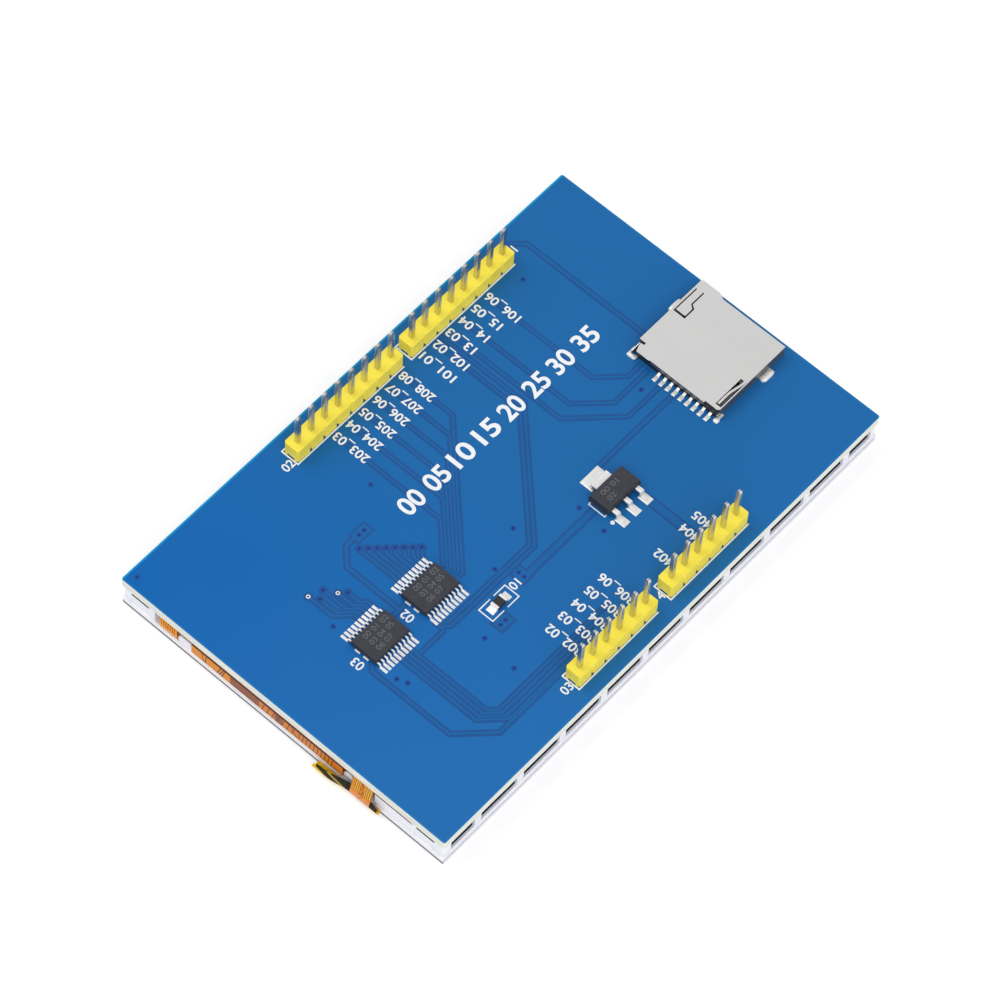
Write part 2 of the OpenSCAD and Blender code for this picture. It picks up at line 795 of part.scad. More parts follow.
module front_polarizer() {
    color("darkslategray") translate([glass_shift, 0, 0])
        sheet_at(front_glass_z - polarizer_t, polarizer_t, polarizer_length, polarizer_width);
}

module front_glass() {
    color("azure") translate([glass_shift, 0, 0])
        sheet_at(front_glass_z, glass_t, front_glass_length, glass_width, 0.1);
}

module rear_glass() {
    color("azure") sheet_at(rear_glass_z, glass_t, glass_length, glass_width, 0.1);
}

module rear_polarizer() {
    color("darkslategray") translate([glass_shift, 0, 0])
        sheet_at(rear_polarizer_z, polarizer_t, guide_length - glass_ledge, guide_width);
}

module driver_chip() {
    color("darkgray") translate([-glass_length / 2 + driver_setback, 0, rear_glass_z - driver_t / 2])
        cube([driver_width, driver_length, driver_t], center = true);
}

// ---------------------------------------------------------------- flex cables

// Side view of a cable that leaves at height low, turns up at height out and folds in under the board
module fold(low, out, inside, under) {
    low_c = [cable_x + low_bend, out + low_bend];
    top_c = [cable_x + top_bend, board_z - top_bend];
    turn = display_edge + fold_turn;
    polygon(concat(
        [[inside, low], [turn, low]],
        arc(low_c, low_bend, 270, 180, 8),
        arc(top_c, top_bend, 180, 90, 12),
        [[under, board_z], [under, board_z - flex_t]],
        arc(top_c, top_bend - flex_t, 90, 180, 12),
        arc(low_c, low_bend - flex_t, 180, 270, 8),
        [[turn, low + flex_t], [inside, low + flex_t]]
    ));
}

module main_flex() {
    low = rear_glass_z - flex_t;
    bond = -glass_length / 2 + 0.9;
    color("chocolate") {
        along_y(main_flex_y - main_flex_width / 2, main_flex_y + main_flex_width / 2)
            fold(low, low, bond, display_edge + pad_overlap + 0.1);
        difference() {
            union() {
                block([flex_edge + 0.02, flex_pad_low, board_z - flex_t],
                      [display_edge + flex_pad_length, flex_pad_high, board_z]);
                block([flex_edge + 0.02, flex_pad_low, board_z - flex_pad_lip],
                      [flex_edge + 0.02 + flex_t, flex_pad_high, board_z]);
            }
            block([cable_x - 1, main_flex_y - main_flex_width / 2, board_z - 1],
                  [display_edge + pad_overlap, main_flex_y + main_flex_width / 2, board_z + 1]);
            block([cable_x - 1, touch_flex_top - touch_flex_width - 0.1, board_z - 1],
                  [display_edge + touch_flex_reach + 0.2, touch_flex_top + 0.1, board_z + 1]);
        }
    }
}

module led_flex() {
    low = rear_polarizer_z;
    strip_edge = led_x - led_depth / 2;
    pitch = led_flex_width / (comb_slits + 1);
    color("darkorange") {
        difference() {
            along_y(led_flex_y - led_flex_width / 2, led_flex_y + led_flex_width / 2)
                fold(low, low - led_flex_dip, led_x, display_edge + flex_pad_length);
            for (k = [1:comb_slits]) translate([0, led_flex_y - led_flex_width / 2 + k * pitch, 0])
                block([cable_x - 1, -comb_slit / 2, board_z - comb_height],
                      [display_edge + 1, comb_slit / 2, board_z + 1]);
        }
        block([strip_edge, -guide_width / 2, low],
              [led_x + led_depth / 2, guide_width / 2, low + flex_t]);
    }
}

module leds() {
    count = 6;
    color("lightyellow") for (k = [0:count - 1])
        translate([led_x, (k - (count - 1) / 2) * guide_width / count, rear_polarizer_z + flex_t])
            block([-led_depth / 2, -1.4, 0], [led_depth / 2, 1.4, light_guide_t]);
}

// ---------------------------------------------------------------- backlight

module prism_film() {
    color("whitesmoke") sheet_at(prism_z, film_t, guide_length, guide_width);
}

module diffuser_film() {
    color("white") sheet_at(diffuser_z, film_t, guide_length, guide_width);
}

module light_guide() {
    color("lightcyan") sheet_at(guide_z, light_guide_t, guide_length, guide_width);
}

module reflector() {
    color("silver")
        sheet_at(reflector_z, reflector_t, guide_length + 2 * window_wall, guide_width + 2 * window_wall);
}

function rib_places(length) = let (n = floor((length - 8) / rib_pitch))
    [for (k = [0:n]) (k - n / 2) * rib_pitch];

// Rib on a long side: stands proud of the wall and ends in a round toe
module rib(depth) {
    toe = rim_z - 0.3;
    translate([0, -depth, 0]) along_y(0, depth) {
        translate([-rib_width / 2, toe + rib_width / 2]) square([rib_width, board_z - toe - rib_width / 2]);
        translate([0, toe + rib_width / 2]) circle(d = rib_width);
    }
}

// Outline of the frame, moved in by an inset
module frame_outline(inset) {
    round_rect(display_length - 2 * inset, display_width - 2 * inset, frame_corner - inset / 2);
}

// Solid envelope of the frame, before its pockets are cut
module frame_envelope() {
    translate([0, 0, front_glass_z]) linear_extrude(rim_z - front_glass_z)
        frame_outline(rim_setback);
    translate([0, 0, front_glass_z]) linear_extrude(shield_z - front_glass_z)
        frame_outline(wall_inset);
    translate([0, 0, front_glass_z]) linear_extrude(board_z - front_glass_z) intersection() {
        frame_outline(0);
        for (sx = [-1, 1], sy = [-1, 1])
            translate([sx * display_length / 2, sy * display_width / 2])
                square([2 * frame_post, 2 * end_post], center = true);
    }
    translate([0, 0, front_glass_z]) linear_extrude(shield_z - front_glass_z) intersection() {
        frame_outline(0);
        translate([display_edge, -display_width / 2])
            square([2 * frame_post, display_width + 2 * opening_low], center = true);
    }
    for (x = rib_places(display_length), s = [0, 180]) rotate(s)
        translate([x, display_width / 2, 0]) rib(0.9);
}

// Slot and shallow recess in the end face of each corner post
module post_recess() {
    for (sx = [0, 180], y = [-1, 1]) rotate(sx) translate([display_edge, y * tab_y, 0]) {
        block([-1, -tab_width / 2, shield_z], [frame_post + eps, tab_width / 2, board_z + 1]);
        block([-1, -tab_width / 2 - 0.2, front_glass_z - 1], [0.14, tab_width / 2 + 0.2, board_z - 1.65]);
    }
}

module backlight_frame() {
    color("white") {
        difference() {
            frame_envelope();
            post_recess();
            translate([0, 0, front_glass_z - 1]) linear_extrude(rear_polarizer_z + 0.1 - front_glass_z + 1)
                square([pocket_length, pocket_width], center = true);
            translate([0, 0, front_glass_z]) linear_extrude(reflector_z - front_glass_z)
                square([pocket_length - 2 * window_wall, pocket_width - 2 * window_wall], center = true);
            block([-pocket_length / 2, -guide_width / 2 - glass_gap, front_glass_z],
                  [0, guide_width / 2 + glass_gap, reflector_z]);
            translate([0, 0, reflector_z]) linear_extrude(mounting_tape_t + 1)
                square([pocket_length - 0.2, pocket_width - 0.2], center = true);
            frame_opening();
        }
        end_post(main_flex_y + main_flex_width / 2 + post_gap, led_flex_y - led_flex_width / 2 - post_gap);
        end_post(touch_flex_top + post_gap, main_flex_y - main_flex_width / 2 - post_gap);
    }
}

// Space at the flex cable edge: thin wall, open below for the cables
module frame_opening() {
    x0 = display_edge - 1;
    x1 = -pocket_length / 2 - thin_wall;
    block([x0, opening_low, 0], [x1, opening_high, board_z + 1]);
    block([x0, opening_low, 0], [-pocket_length / 2 + eps, opening_high, rim_z]);
    block([x0, led_flex_y - led_flex_width / 2 - 0.1, 0],
          [-pocket_length / 2 + window_wall + eps, led_flex_y + led_flex_width / 2 + 0.1, shield_z + 1]);
    block([x0, flex_pad_low - 0.3, shield_z], [-pocket_length / 2 + 1, opening_high, board_z + 1]);
}

// Round-ended post between two cables, from y0 to y1
module end_post(y0, y1) {
    h = shield_z - 0.45 - post_low;
    translate([0, (y0 + y1) / 2, post_low + h / 2])
        along_x(display_edge + rim_setback, -pocket_length / 2 - eps) round_rect(y1 - y0, h, 0.6);
}

// Black shield: a film over the back whose flaps fold down between the ribs
module rear_shield() {
    fold_y = display_width / 2 - wall_inset;
    ribs = rib_places(display_length);
    last = len(ribs) - 1;
    gap = rib_width / 2 + 0.05;
    end = display_length / 2 - frame_post - 0.05;
    color("black") {
        translate([0, 0, shield_z]) linear_extrude(shield_t) difference() {
            square([2 * end, 2 * (fold_y + shield_t)], center = true);
            for (x = ribs, s = [-1, 1]) translate([x, s * display_width / 2])
                square([2 * gap, 2.1], center = true);
            for (s = [-1, 1]) translate([s * end, 0])
                square([2 * (end - pocket_length / 2 + 1), pocket_width], center = true);
        }
        for (s = [0, 180], side = [-1, 1]) rotate(s) translate([0, side * tab_y, shield_z])
            block([pocket_length / 2 - 1.1, 0.05 - tab_width / 2, 0],
                  [display_length / 2 - 0.01, tab_width / 2 - 0.05, shield_t]);
        for (s = [0, 180], i = [0:last + 1]) rotate(s)
            block([i == 0 ? -end : ribs[i - 1] + gap, fold_y, rim_z],
                  [i > last ? end : ribs[i] - gap, fold_y + shield_t, tape_z]);
    }
}

// Strip of foam tape on one side of the middle
module mounting_tape(side) {
    color("dimgray") translate([0, side * mounting_tape_spacing / 2, tape_z]) linear_extrude(mounting_tape_t)
        square([pocket_length - 2 * tape_end_gap, mounting_tape_width], center = true);
}

// ---------------------------------------------------------------- assembly

board();
header(ROWS[0]);  // header_j1
header(ROWS[1]);  // header_j2
header(ROWS[2]);  // header_j3
header(ROWS[3]);  // header_j4
pins(ROWS[0]);  // pins_j1
pins(ROWS[1]);  // pins_j2
pins(ROWS[2]);  // pins_j3
pins(ROWS[3]);  // pins_j4
pin_solder();
chip(u2_from_edge);  // chip_u2
chip_leads(u2_from_edge);  // chip_u2_leads
chip(u3_from_edge);  // chip_u3
chip_leads(u3_from_edge);  // chip_u3_leads
regulator();
regulator_leads();
regulator_tab();
resistor();
resistor_caps();
socket_shell();
socket_base();
card_contacts();
detect_contact();
card_slider();
eject_spring();
cam_follower();
touch_film();
touch_gasket();
touch_glass();
touch_flex();
panel_tape();
front_polarizer();
front_glass();
rear_glass();
rear_polarizer();
driver_chip();
main_flex();
led_flex();
leds();
prism_film();
diffuser_film();
light_guide();
reflector();
backlight_frame();
rear_shield();
mounting_tape(-1);  // tape_front
mounting_tape(1);  // tape_back
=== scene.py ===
"""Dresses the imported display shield: copper, print, solder, finishes, floor, light and camera.

Lengths are written in millimetres in the frame of the part and scaled by MM when a mesh is made.
"""
import json
import math

import bmesh
import bpy
from mathutils import Matrix, Quaternion, Vector

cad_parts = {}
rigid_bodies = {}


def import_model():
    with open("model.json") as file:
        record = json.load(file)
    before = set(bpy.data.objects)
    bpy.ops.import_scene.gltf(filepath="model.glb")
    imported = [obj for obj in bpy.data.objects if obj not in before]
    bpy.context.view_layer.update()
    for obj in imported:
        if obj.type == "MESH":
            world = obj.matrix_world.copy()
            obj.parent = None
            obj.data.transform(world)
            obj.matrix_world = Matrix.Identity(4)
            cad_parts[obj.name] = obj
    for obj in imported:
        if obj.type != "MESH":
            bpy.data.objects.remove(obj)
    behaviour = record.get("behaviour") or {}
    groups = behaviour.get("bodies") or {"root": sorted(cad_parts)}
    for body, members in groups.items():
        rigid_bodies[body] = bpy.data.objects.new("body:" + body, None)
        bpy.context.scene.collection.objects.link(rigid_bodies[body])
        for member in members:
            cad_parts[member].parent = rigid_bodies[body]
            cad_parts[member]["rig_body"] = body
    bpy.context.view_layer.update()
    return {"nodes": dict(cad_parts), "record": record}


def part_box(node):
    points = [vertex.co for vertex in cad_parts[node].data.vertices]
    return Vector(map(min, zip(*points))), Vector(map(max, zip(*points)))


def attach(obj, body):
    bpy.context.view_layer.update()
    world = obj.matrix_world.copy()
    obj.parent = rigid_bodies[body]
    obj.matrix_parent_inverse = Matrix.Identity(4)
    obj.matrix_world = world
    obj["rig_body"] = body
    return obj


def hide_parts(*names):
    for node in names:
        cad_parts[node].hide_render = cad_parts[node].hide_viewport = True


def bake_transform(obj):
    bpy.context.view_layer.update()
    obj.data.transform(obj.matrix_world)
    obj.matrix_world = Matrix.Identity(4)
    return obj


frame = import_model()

MM = 0.001
ROOT = "module"
scene = bpy.context.scene


# ------------------------------------------------------------------ places taken from the frame

def low(node):
    """Lowest corner of a CAD node, in millimetres."""
    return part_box(node)[0] / MM


def high(node):
    """Highest corner of a CAD node, in millimetres."""
    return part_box(node)[1] / MM


def middle(node):
    """Middle of a CAD node's box, in millimetres."""
    return (low(node) + high(node)) / 2


BOARD_TOP = high("board").z
BOARD_HALF_X = high("board").x
BOARD_HALF_Y = high("board").y
PITCH = 2.54
PIN_COUNTS = {"j1": 8, "j2": 8, "j3": 6, "j4": 6}


def pin_x(header, index):
    """X of a pin, counted from the flex cable end of its header."""
    return middle("pins_" + header).x + (index - (PIN_COUNTS[header] - 1) / 2) * PITCH


# ------------------------------------------------------------------ procedural materials

def nodes_of(material):
    """Node tree of a material, and its shader."""
    material.use_nodes = True
    tree = material.node_tree
    return tree, tree.nodes["Principled BSDF"]


class Graph:
    """Short ways to add and join shader nodes."""

    def __init__(self, tree):
        self.tree = tree
        coords = tree.nodes.new("ShaderNodeTexCoord")
        scale = tree.nodes.new("ShaderNodeMapping")
        scale.inputs["Scale"].default_value = (1 / MM,) * 3
        tree.links.new(coords.outputs["Object"], scale.inputs["Vector"])
        self.mm = scale.outputs["Vector"]

    def link(self, source, target):
        self.tree.links.new(source, target)

    def put(self, value, socket):
        """Links a socket, or sets a plain value."""
        if isinstance(value, bpy.types.NodeSocket):
            self.link(value, socket)
        else:
            socket.default_value = value

    def math(self, operation, a, b=0.0):
        node = self.tree.nodes.new("ShaderNodeMath")
        node.operation = operation
        self.put(a, node.inputs[0])
        self.put(b, node.inputs[1])
        return node.outputs[0]

    def noise(self, size, detail=3.0, stretch=(1, 1, 1)):
        """Noise whose features are about size millimetres wide; stretch lengthens them along an axis."""
        mapping = self.tree.nodes.new("ShaderNodeMapping")
        mapping.inputs["Scale"].default_value = [1 / (size * s) for s in stretch]
        self.link(self.mm, mapping.inputs["Vector"])
        node = self.tree.nodes.new("ShaderNodeTexNoise")
        node.inputs["Scale"].default_value = 1.0
        node.inputs["Detail"].default_value = detail
        self.link(mapping.outputs["Vector"], node.inputs["Vector"])
        return node.outputs[0]

    def ramp(self, value, low_in, high_in, low_out=0.0, high_out=1.0):
        """Value mapped from one range to another, and held at its ends."""
        node = self.tree.nodes.new("ShaderNodeMapRange")
        self.put(value, node.inputs["Value"])
        ends = {"From Min": low_in, "From Max": high_in, "To Min": low_out, "To Max": high_out}
        for name, end in ends.items():
            node.inputs[name].default_value = end
        return node.outputs[0]

    def within(self, value, start, end, soft=0.03):
        """1 where value lies between start and end, with soft edges."""
        rise = self.ramp(value, start - soft, start + soft)
        fall = self.ramp(value, end - soft, end + soft, 1.0, 0.0)
        return self.math("MULTIPLY", rise, fall)

    def waves(self, value, pitch):
        """From -1 to 1 and back, once in each pitch."""
        return self.math("SINE", self.math("MULTIPLY", value, 2 * math.pi / pitch))

    def line(self, value, slant, height, width):
        """1 on a thin line at value + slant * height = 0."""
        place = self.math("ABSOLUTE", self.math("ADD", value, self.math("MULTIPLY", height, slant)))
        return self.ramp(place, width * 0.3, width * 0.7, 1.0, 0.0)

    def mix(self, factor, a, b):
        """Colour a at factor 0 and b at factor 1."""
        node = self.tree.nodes.new("ShaderNodeMix")
        node.data_type = "RGBA"
        self.put(factor, node.inputs[0])
        for value, socket in ((a, node.inputs[6]), (b, node.inputs[7])):
            self.put(value if isinstance(value, bpy.types.NodeSocket) else (*value, 1.0), socket)
        return node.outputs[2]

    def axes(self, vector=None):
        """X, y and z of a vector, or of the place on the object in millimetres."""
        node = self.tree.nodes.new("ShaderNodeSeparateXYZ")
        self.link(vector or self.mm, node.inputs[0])
        return node.outputs

    def normal(self):
        """X, y and z of the surface's normal in the frame of the part."""
        return self.axes(self.tree.nodes.new("ShaderNodeNewGeometry").outputs["Normal"])

    def bump(self, height, depth, bsdf):
        """Bump from a height of 0 to 1; depth is in millimetres."""
        node = self.tree.nodes.new("ShaderNodeBump")
        node.inputs["Strength"].default_value = 1.0
        node.inputs["Distance"].default_value = depth * MM
        self.link(height, node.inputs["Height"])
        self.link(node.outputs["Normal"], bsdf.inputs["Normal"])


def shade(colour, amount):
    """Colour made darker (below 1) or lighter (above 1)."""
    return tuple(min(1.0, c * amount) for c in colour)


def finish_of(
    name, colour, roughness, metallic=0.0, vary=0.08, grain=0.8, stretch=(1, 1, 1), depth=0.004, **plain
):
    """A moulded, printed or metal finish: mottled colour, uneven gloss and a fine bump.

    plain sets further sockets of the shader that are the same all over."""
    material = bpy.data.materials.new(name)
    tree, bsdf = nodes_of(material)
    g = Graph(tree)
    coarse = g.noise(grain * 6, 2.0, stretch)
    fine = g.noise(grain, 4.0, stretch)
    blend = g.ramp(coarse, 0.3, 0.7)
    g.link(g.mix(blend, shade(colour, 1 - vary), shade(colour, 1 + vary)), bsdf.inputs["Base Color"])
    g.link(g.ramp(fine, 0.3, 0.7, roughness * 0.85, min(1.0, roughness * 1.15)), bsdf.inputs["Roughness"])
    bsdf.inputs["Metallic"].default_value = metallic
    g.bump(fine, depth, bsdf)
    for socket, value in plain.items():
        bsdf.inputs[socket.replace("_", " ")].default_value = value
    return material


MASK_BLUE = (0.009, 0.133, 0.388)
# Painted light: the next two blues are the mask painted deeper at the flex cable end and paler towards J3.
MASK_PAINTED_LIGHT_DEEP = (0.000, 0.121, 0.425)
MASK_PAINTED_LIGHT_PALE = (0.012, 0.142, 0.425)
MASK_GAP = (0.014, 0.089, 0.292)
MASK_TRACK = (0.009, 0.121, 0.362)
MASK_RIM = (0.000, 0.330, 0.620)
MASK_RIM_WIDTH = 0.26
MASK_GLOSS = 0.18
LAMINATE = (0.78, 0.80, 0.75)


def board_mask_and_painted_light():
    """Solder mask over copper, its lighter rim, and the cut laminate on the sides.

    The mask is painted deeper towards the flex cable end and paler towards J3: painted light."""
    material = bpy.data.materials.new("board_mask_and_painted_light")
    tree, bsdf = nodes_of(material)
    g = Graph(tree)
    x, y = g.axes()[:2]
    past_x = g.math("SUBTRACT", g.math("ABSOLUTE", x), BOARD_HALF_X - MASK_RIM_WIDTH)
    past_y = g.math("SUBTRACT", g.math("ABSOLUTE", y), BOARD_HALF_Y - MASK_RIM_WIDTH)
    at_edge = g.ramp(g.math("MAXIMUM", past_x, past_y), -0.06, 0.12, 0.0, 0.16)
    at_back = g.ramp(g.math("SUBTRACT", y, BOARD_HALF_Y - MASK_RIM_WIDTH), -0.06, 0.12)
    at_rim = g.math("MAXIMUM", at_edge, at_back)
    cloud = g.ramp(g.noise(14, 2.0), 0.3, 0.7)
    # Painted light: deeper blue painted towards the flex cable end, paler blue towards J3 and the lower side.
    painted_light_along_x = g.ramp(g.math("ADD", x, g.math("MULTIPLY", cloud, 6)), -38, 4)
    painted_light_towards_j3 = g.ramp(g.math("ADD", y, g.math("MULTIPLY", x, 0.6)), 0, -40)
    mask = g.mix(painted_light_towards_j3, g.mix(painted_light_along_x, MASK_PAINTED_LIGHT_DEEP, MASK_BLUE), MASK_PAINTED_LIGHT_PALE)
    top = g.mix(at_rim, mask, MASK_RIM)
    fibre = g.ramp(g.noise(0.22, 3.0, (18, 18, 1)), 0.35, 0.65)
    side = g.mix(fibre, shade(LAMINATE, 0.90), shade(LAMINATE, 1.08))
    is_side = g.math("LESS_THAN", g.math("ABSOLUTE", g.normal()[2]), 0.5)
    g.link(g.mix(is_side, top, side), bsdf.inputs["Base Color"])
    g.link(g.math("ADD", 0.32, g.math("MULTIPLY", is_side, 0.4)), bsdf.inputs["Roughness"])
    bsdf.inputs["Specular IOR Level"].default_value = MASK_GLOSS
    g.bump(g.noise(1.1, 5.0), 0.004, bsdf)
    return material


def film_gloss(bsdf):
    """Gloss that all three cables share."""
    bsdf.inputs["Roughness"].default_value = 0.35
    bsdf.inputs["Specular IOR Level"].default_value = 0.08
    bsdf.inputs["Coat Weight"].default_value = 0.04
    bsdf.inputs["Coat Roughness"].default_value = 0.15


ORANGE = (0.62, 0.190, 0.020)
BRIGHT_ORANGE = (0.70, 0.235, 0.008)
BROWN = (0.27, 0.085, 0.030)
TRACK_LINE = (0.07, 0.016, 0.004)
# Dark red-brown of the pad's cut edge; it also stands for painted shadow under the board rim.
CABLE_EDGE_AND_SHADOW = (0.15, 0.040, 0.016)

# Places along y on the display cable, in millimetres; each single track has its slant too
FINE_FIELD = (3.6, 8.6)
SMALL_FIELD = (-0.4, 0.9)
CLOSE_TRACKS = (-9.4, -3.2)
WIDE_TRACKS = (-2.4, 3.5)
SINGLE_TRACKS = ((13.35, -0.22), (12.8, 0.1), (10.5, 0.36), (10.1, 0.4), (9.75, 0.3), (-2.35, -0.5))
SINGLE_WIDTH = 0.16
SLANT_Z = 2.9                                                   # the pad's cut edge, darkened with painted shadow from the board rim, lies beyond both
EDGE_AND_SHADOW_X, EDGE_AND_SHADOW_Z = -42.3, 3.68                            # the cut edge lies beyond both
FINE_PITCH, CLOSE_PITCH, WIDE_PITCH = 0.21, 0.62, 0.85


def display_flex_and_painted_shadow():
    """Display cable: plain amber ends, a brown field of fine tracks, single tracks, and its cut edge painted
    dark together with painted shadow from the board rim.
    """
    material = bpy.data.materials.new("display_flex_and_painted_shadow")
    tree, bsdf = nodes_of(material)
    g = Graph(tree)
    x, y, z = g.axes()
    field = g.math("MAXIMUM", g.within(y, *FINE_FIELD, 0.1), g.within(y, *SMALL_FIELD, 0.1))
    amber = g.mix(g.ramp(y, 3.0, 9.5), ORANGE, BRIGHT_ORANGE)
    film = g.mix(field, amber, BROWN)
    fine = g.ramp(g.waves(y, FINE_PITCH), -0.3, 0.6)
    film = g.mix(g.math("MULTIPLY", g.math("MULTIPLY", fine, field), 0.3), film, TRACK_LINE)
    close = g.waves(g.math("ADD", y, g.math("MULTIPLY", z, 0.12)), CLOSE_PITCH)
    close = g.math("MULTIPLY", g.ramp(close, 0.70, 0.95), g.within(y, *CLOSE_TRACKS))
    wide = g.waves(g.math("ADD", y, g.math("MULTIPLY", z, 0.25)), WIDE_PITCH)
    wide = g.math("MULTIPLY", g.ramp(wide, 0.82, 0.97), g.within(y, *WIDE_TRACKS))
    lines = g.math("MAXIMUM", close, wide)
    for place, slant in SINGLE_TRACKS:
        track = g.line(g.math("SUBTRACT", y, place), slant, g.math("SUBTRACT", z, SLANT_Z), SINGLE_WIDTH)
        lines = g.math("MAXIMUM", lines, track)
    film = g.mix(lines, film, TRACK_LINE)
    # Painted shadow: the top of the cable under the board rim is painted dark, together with the pad's cut
    # edge.
    edge = g.math("MULTIPLY", g.math("GREATER_THAN", z, EDGE_AND_SHADOW_Z), g.math("LESS_THAN", x, EDGE_AND_SHADOW_X))
    g.link(g.mix(edge, film, CABLE_EDGE_AND_SHADOW), bsdf.inputs["Base Color"])
    film_gloss(bsdf)
    g.bump(lines, 0.02, bsdf)
    return material


def led_flex_finish():
    """Lamp cable: bright amber fingers that turn paler towards the bottom of the bend."""
    material = bpy.data.materials.new("led_flex_finish")
    tree, bsdf = nodes_of(material)
    g = Graph(tree)
    z = g.axes()[2]
    cloud = g.ramp(g.noise(0.8, 2.0), 0.3, 0.7)
    film = g.mix(g.ramp(z, 1.9, 2.9), (0.78, 0.42, 0.20), (0.86, 0.33, 0.012))
    g.link(g.mix(g.math("MULTIPLY", cloud, 0.6), film, BRIGHT_ORANGE), bsdf.inputs["Base Color"])
    film_gloss(bsdf)
    return material


# Places along y on the touch cable
NECK = (-15.75, -12.45)
NECK_RIDGES = ((-13.75, -12.85), (-15.65, -14.6))
NECK_TRACKS = (-14.55, -13.8)
RIDGE_PITCH = 0.30


def touch_flex_and_painted_highlights():
    """Touch cable: amber neck, and flaps with black ink inside a clear yellow border."""
    material = bpy.data.materials.new("touch_flex_and_painted_highlights")
    tree, bsdf = nodes_of(material)
    g = Graph(tree)
    y, z = g.axes()[1:]
    cloud = g.ramp(g.noise(0.9, 2.0), 0.3, 0.7)
    ink = g.mix(cloud, (0.003, 0.003, 0.002), (0.022, 0.020, 0.012))
    yellow = g.mix(cloud, (0.82, 0.52, 0.003), (0.66, 0.36, 0.006))
    border = g.ramp(g.math("SUBTRACT", z, g.ramp(y, -11.6, -7.4, 0.55, 1.30)), -0.04, 0.04, 1.0, 0.0)
    small_flap = g.math("MULTIPLY", g.ramp(z, 0.85, 0.95, 1.0, 0.0), g.math("LESS_THAN", y, -15.7))
    for part in (g.ramp(y, -7.15, -7.05), g.ramp(y, -17.1, -17.0, 1.0, 0.0), small_flap):
        border = g.math("MAXIMUM", border, part)
    flap = g.mix(border, ink, yellow)
    band = g.math("ABSOLUTE", g.math("SUBTRACT", z, g.ramp(y, -11.8, -8.8, 0.75, 2.05)))
    band = g.math("MULTIPLY", g.ramp(band, 0.10, 0.22, 1.0, 0.0), g.within(y, -12.3, -8.4))
    flap = g.mix(band, flap, (0.42, 0.30, 0.05))
    neck = g.mix(g.ramp(z, 1.2, 1.9), (0.74, 0.30, 0.120), (0.70, 0.24, 0.008))
    # Across each ridge the colour runs from dark to bright amber: painted highlight and painted shade on real
    # ridges, whose relief is the bump further down.
    ridges_and_painted_highlights = g.waves(y, RIDGE_PITCH)
    grouped = g.math("MAXIMUM", *(g.within(y, *group) for group in NECK_RIDGES))
    grouped = g.math("MULTIPLY", grouped, g.ramp(z, 1.8, 2.4))
    neck = g.mix(grouped, neck, g.mix(g.ramp(ridges_and_painted_highlights, -0.6, 0.6), (0.38, 0.115, 0.004), (0.93, 0.54, 0.080)))
    tracks = g.math("MULTIPLY", g.within(y, *NECK_TRACKS), g.ramp(g.noise(0.35, 1.0), 0.48, 0.55))
    neck = g.mix(g.math("MULTIPLY", tracks, 0.75), neck, (0.30, 0.075, 0.03))
    at_neck = g.within(y, *NECK, 0.02)
    g.link(g.mix(at_neck, flap, neck), bsdf.inputs["Base Color"])
    film_gloss(bsdf)
    relief = g.math("MULTIPLY", g.math("MULTIPLY", ridges_and_painted_highlights, grouped), 1.5)
    g.bump(g.math("ADD", g.noise(1.4, 2.0), relief), 0.03, bsdf)
    return material


def layer_finish(name, face, edge_near, edge_far, roughness, gloss):
    """Flat layer of the touch panel: its face, its edge at the cable end and its other edges."""
    material = bpy.data.materials.new(name)
    tree, bsdf = nodes_of(material)
    g = Graph(tree)
    normal = g.normal()
    cloud = g.ramp(g.noise(3.0, 2.0), 0.3, 0.7)
    near = g.math("LESS_THAN", normal[0], -0.5)
    is_edge = g.math("LESS_THAN", g.math("ABSOLUTE", normal[2]), 0.5)
    edge = g.mix(near, edge_far, edge_near)
    g.link(g.mix(is_edge, g.mix(cloud, face, shade(face, 1.08)), edge), bsdf.inputs["Base Color"])
    g.link(g.ramp(is_edge, 0, 1, roughness, 0.5), bsdf.inputs["Roughness"])
    bsdf.inputs["Specular IOR Level"].default_value = gloss
    return material


def socket_steel_and_painted_shade():
    """Nickel-plated sheet: fine rolling marks, faint clouds, and walls painted dark as painted shade and
    painted reflection of the dark board.
    """
    material = bpy.data.materials.new("shell_steel_and_painted_shade")
    tree, bsdf = nodes_of(material)
    g = Graph(tree)
    rolled = g.noise(0.5, 3.0, (1, 12, 1))
    cloud = g.ramp(g.noise(4.0, 2.0), 0.3, 0.7)
    steel = g.mix(cloud, (0.80, 0.795, 0.79), (0.82, 0.815, 0.81))
    # Painted shade and painted reflection: steep walls are painted dark grey, while the flat top stays light.
    painted_wall_shade = g.ramp(g.math("ABSOLUTE", g.normal()[2]), 0.15, 0.6, 1.0, 0.0)
    g.link(g.mix(painted_wall_shade, steel, (0.22, 0.215, 0.21)), bsdf.inputs["Base Color"])
    bsdf.inputs["Metallic"].default_value = 0.8
    g.link(g.ramp(rolled, 0.3, 0.7, 0.40, 0.43), bsdf.inputs["Roughness"])
    g.bump(rolled, 0.0005, bsdf)
    return material


def touch_glass_and_painted_shade():
    """Touch glass over white: nearly clear, with its edge on the side of J3 and J4 painted lilac as painted
    shade.
    """
    material = finish_of("touch_glass_and_painted_shade", (0.96, 0.955, 0.98), 0.08, vary=0.02, grain=4, depth=0.0005,
                         Transmission_Weight=0.1)
    tree, bsdf = nodes_of(material)
    g = Graph(tree)
    clear = bsdf.inputs["Base Color"].links[0].from_socket
    # Painted shade: edges that face the side of J3 and J4 are painted lilac.
    edge = g.ramp(g.normal()[1], -0.9, -0.4, 1.0, 0.0)
    g.link(g.mix(edge, clear, (0.56, 0.545, 0.67)), bsdf.inputs["Base Color"])
    return material


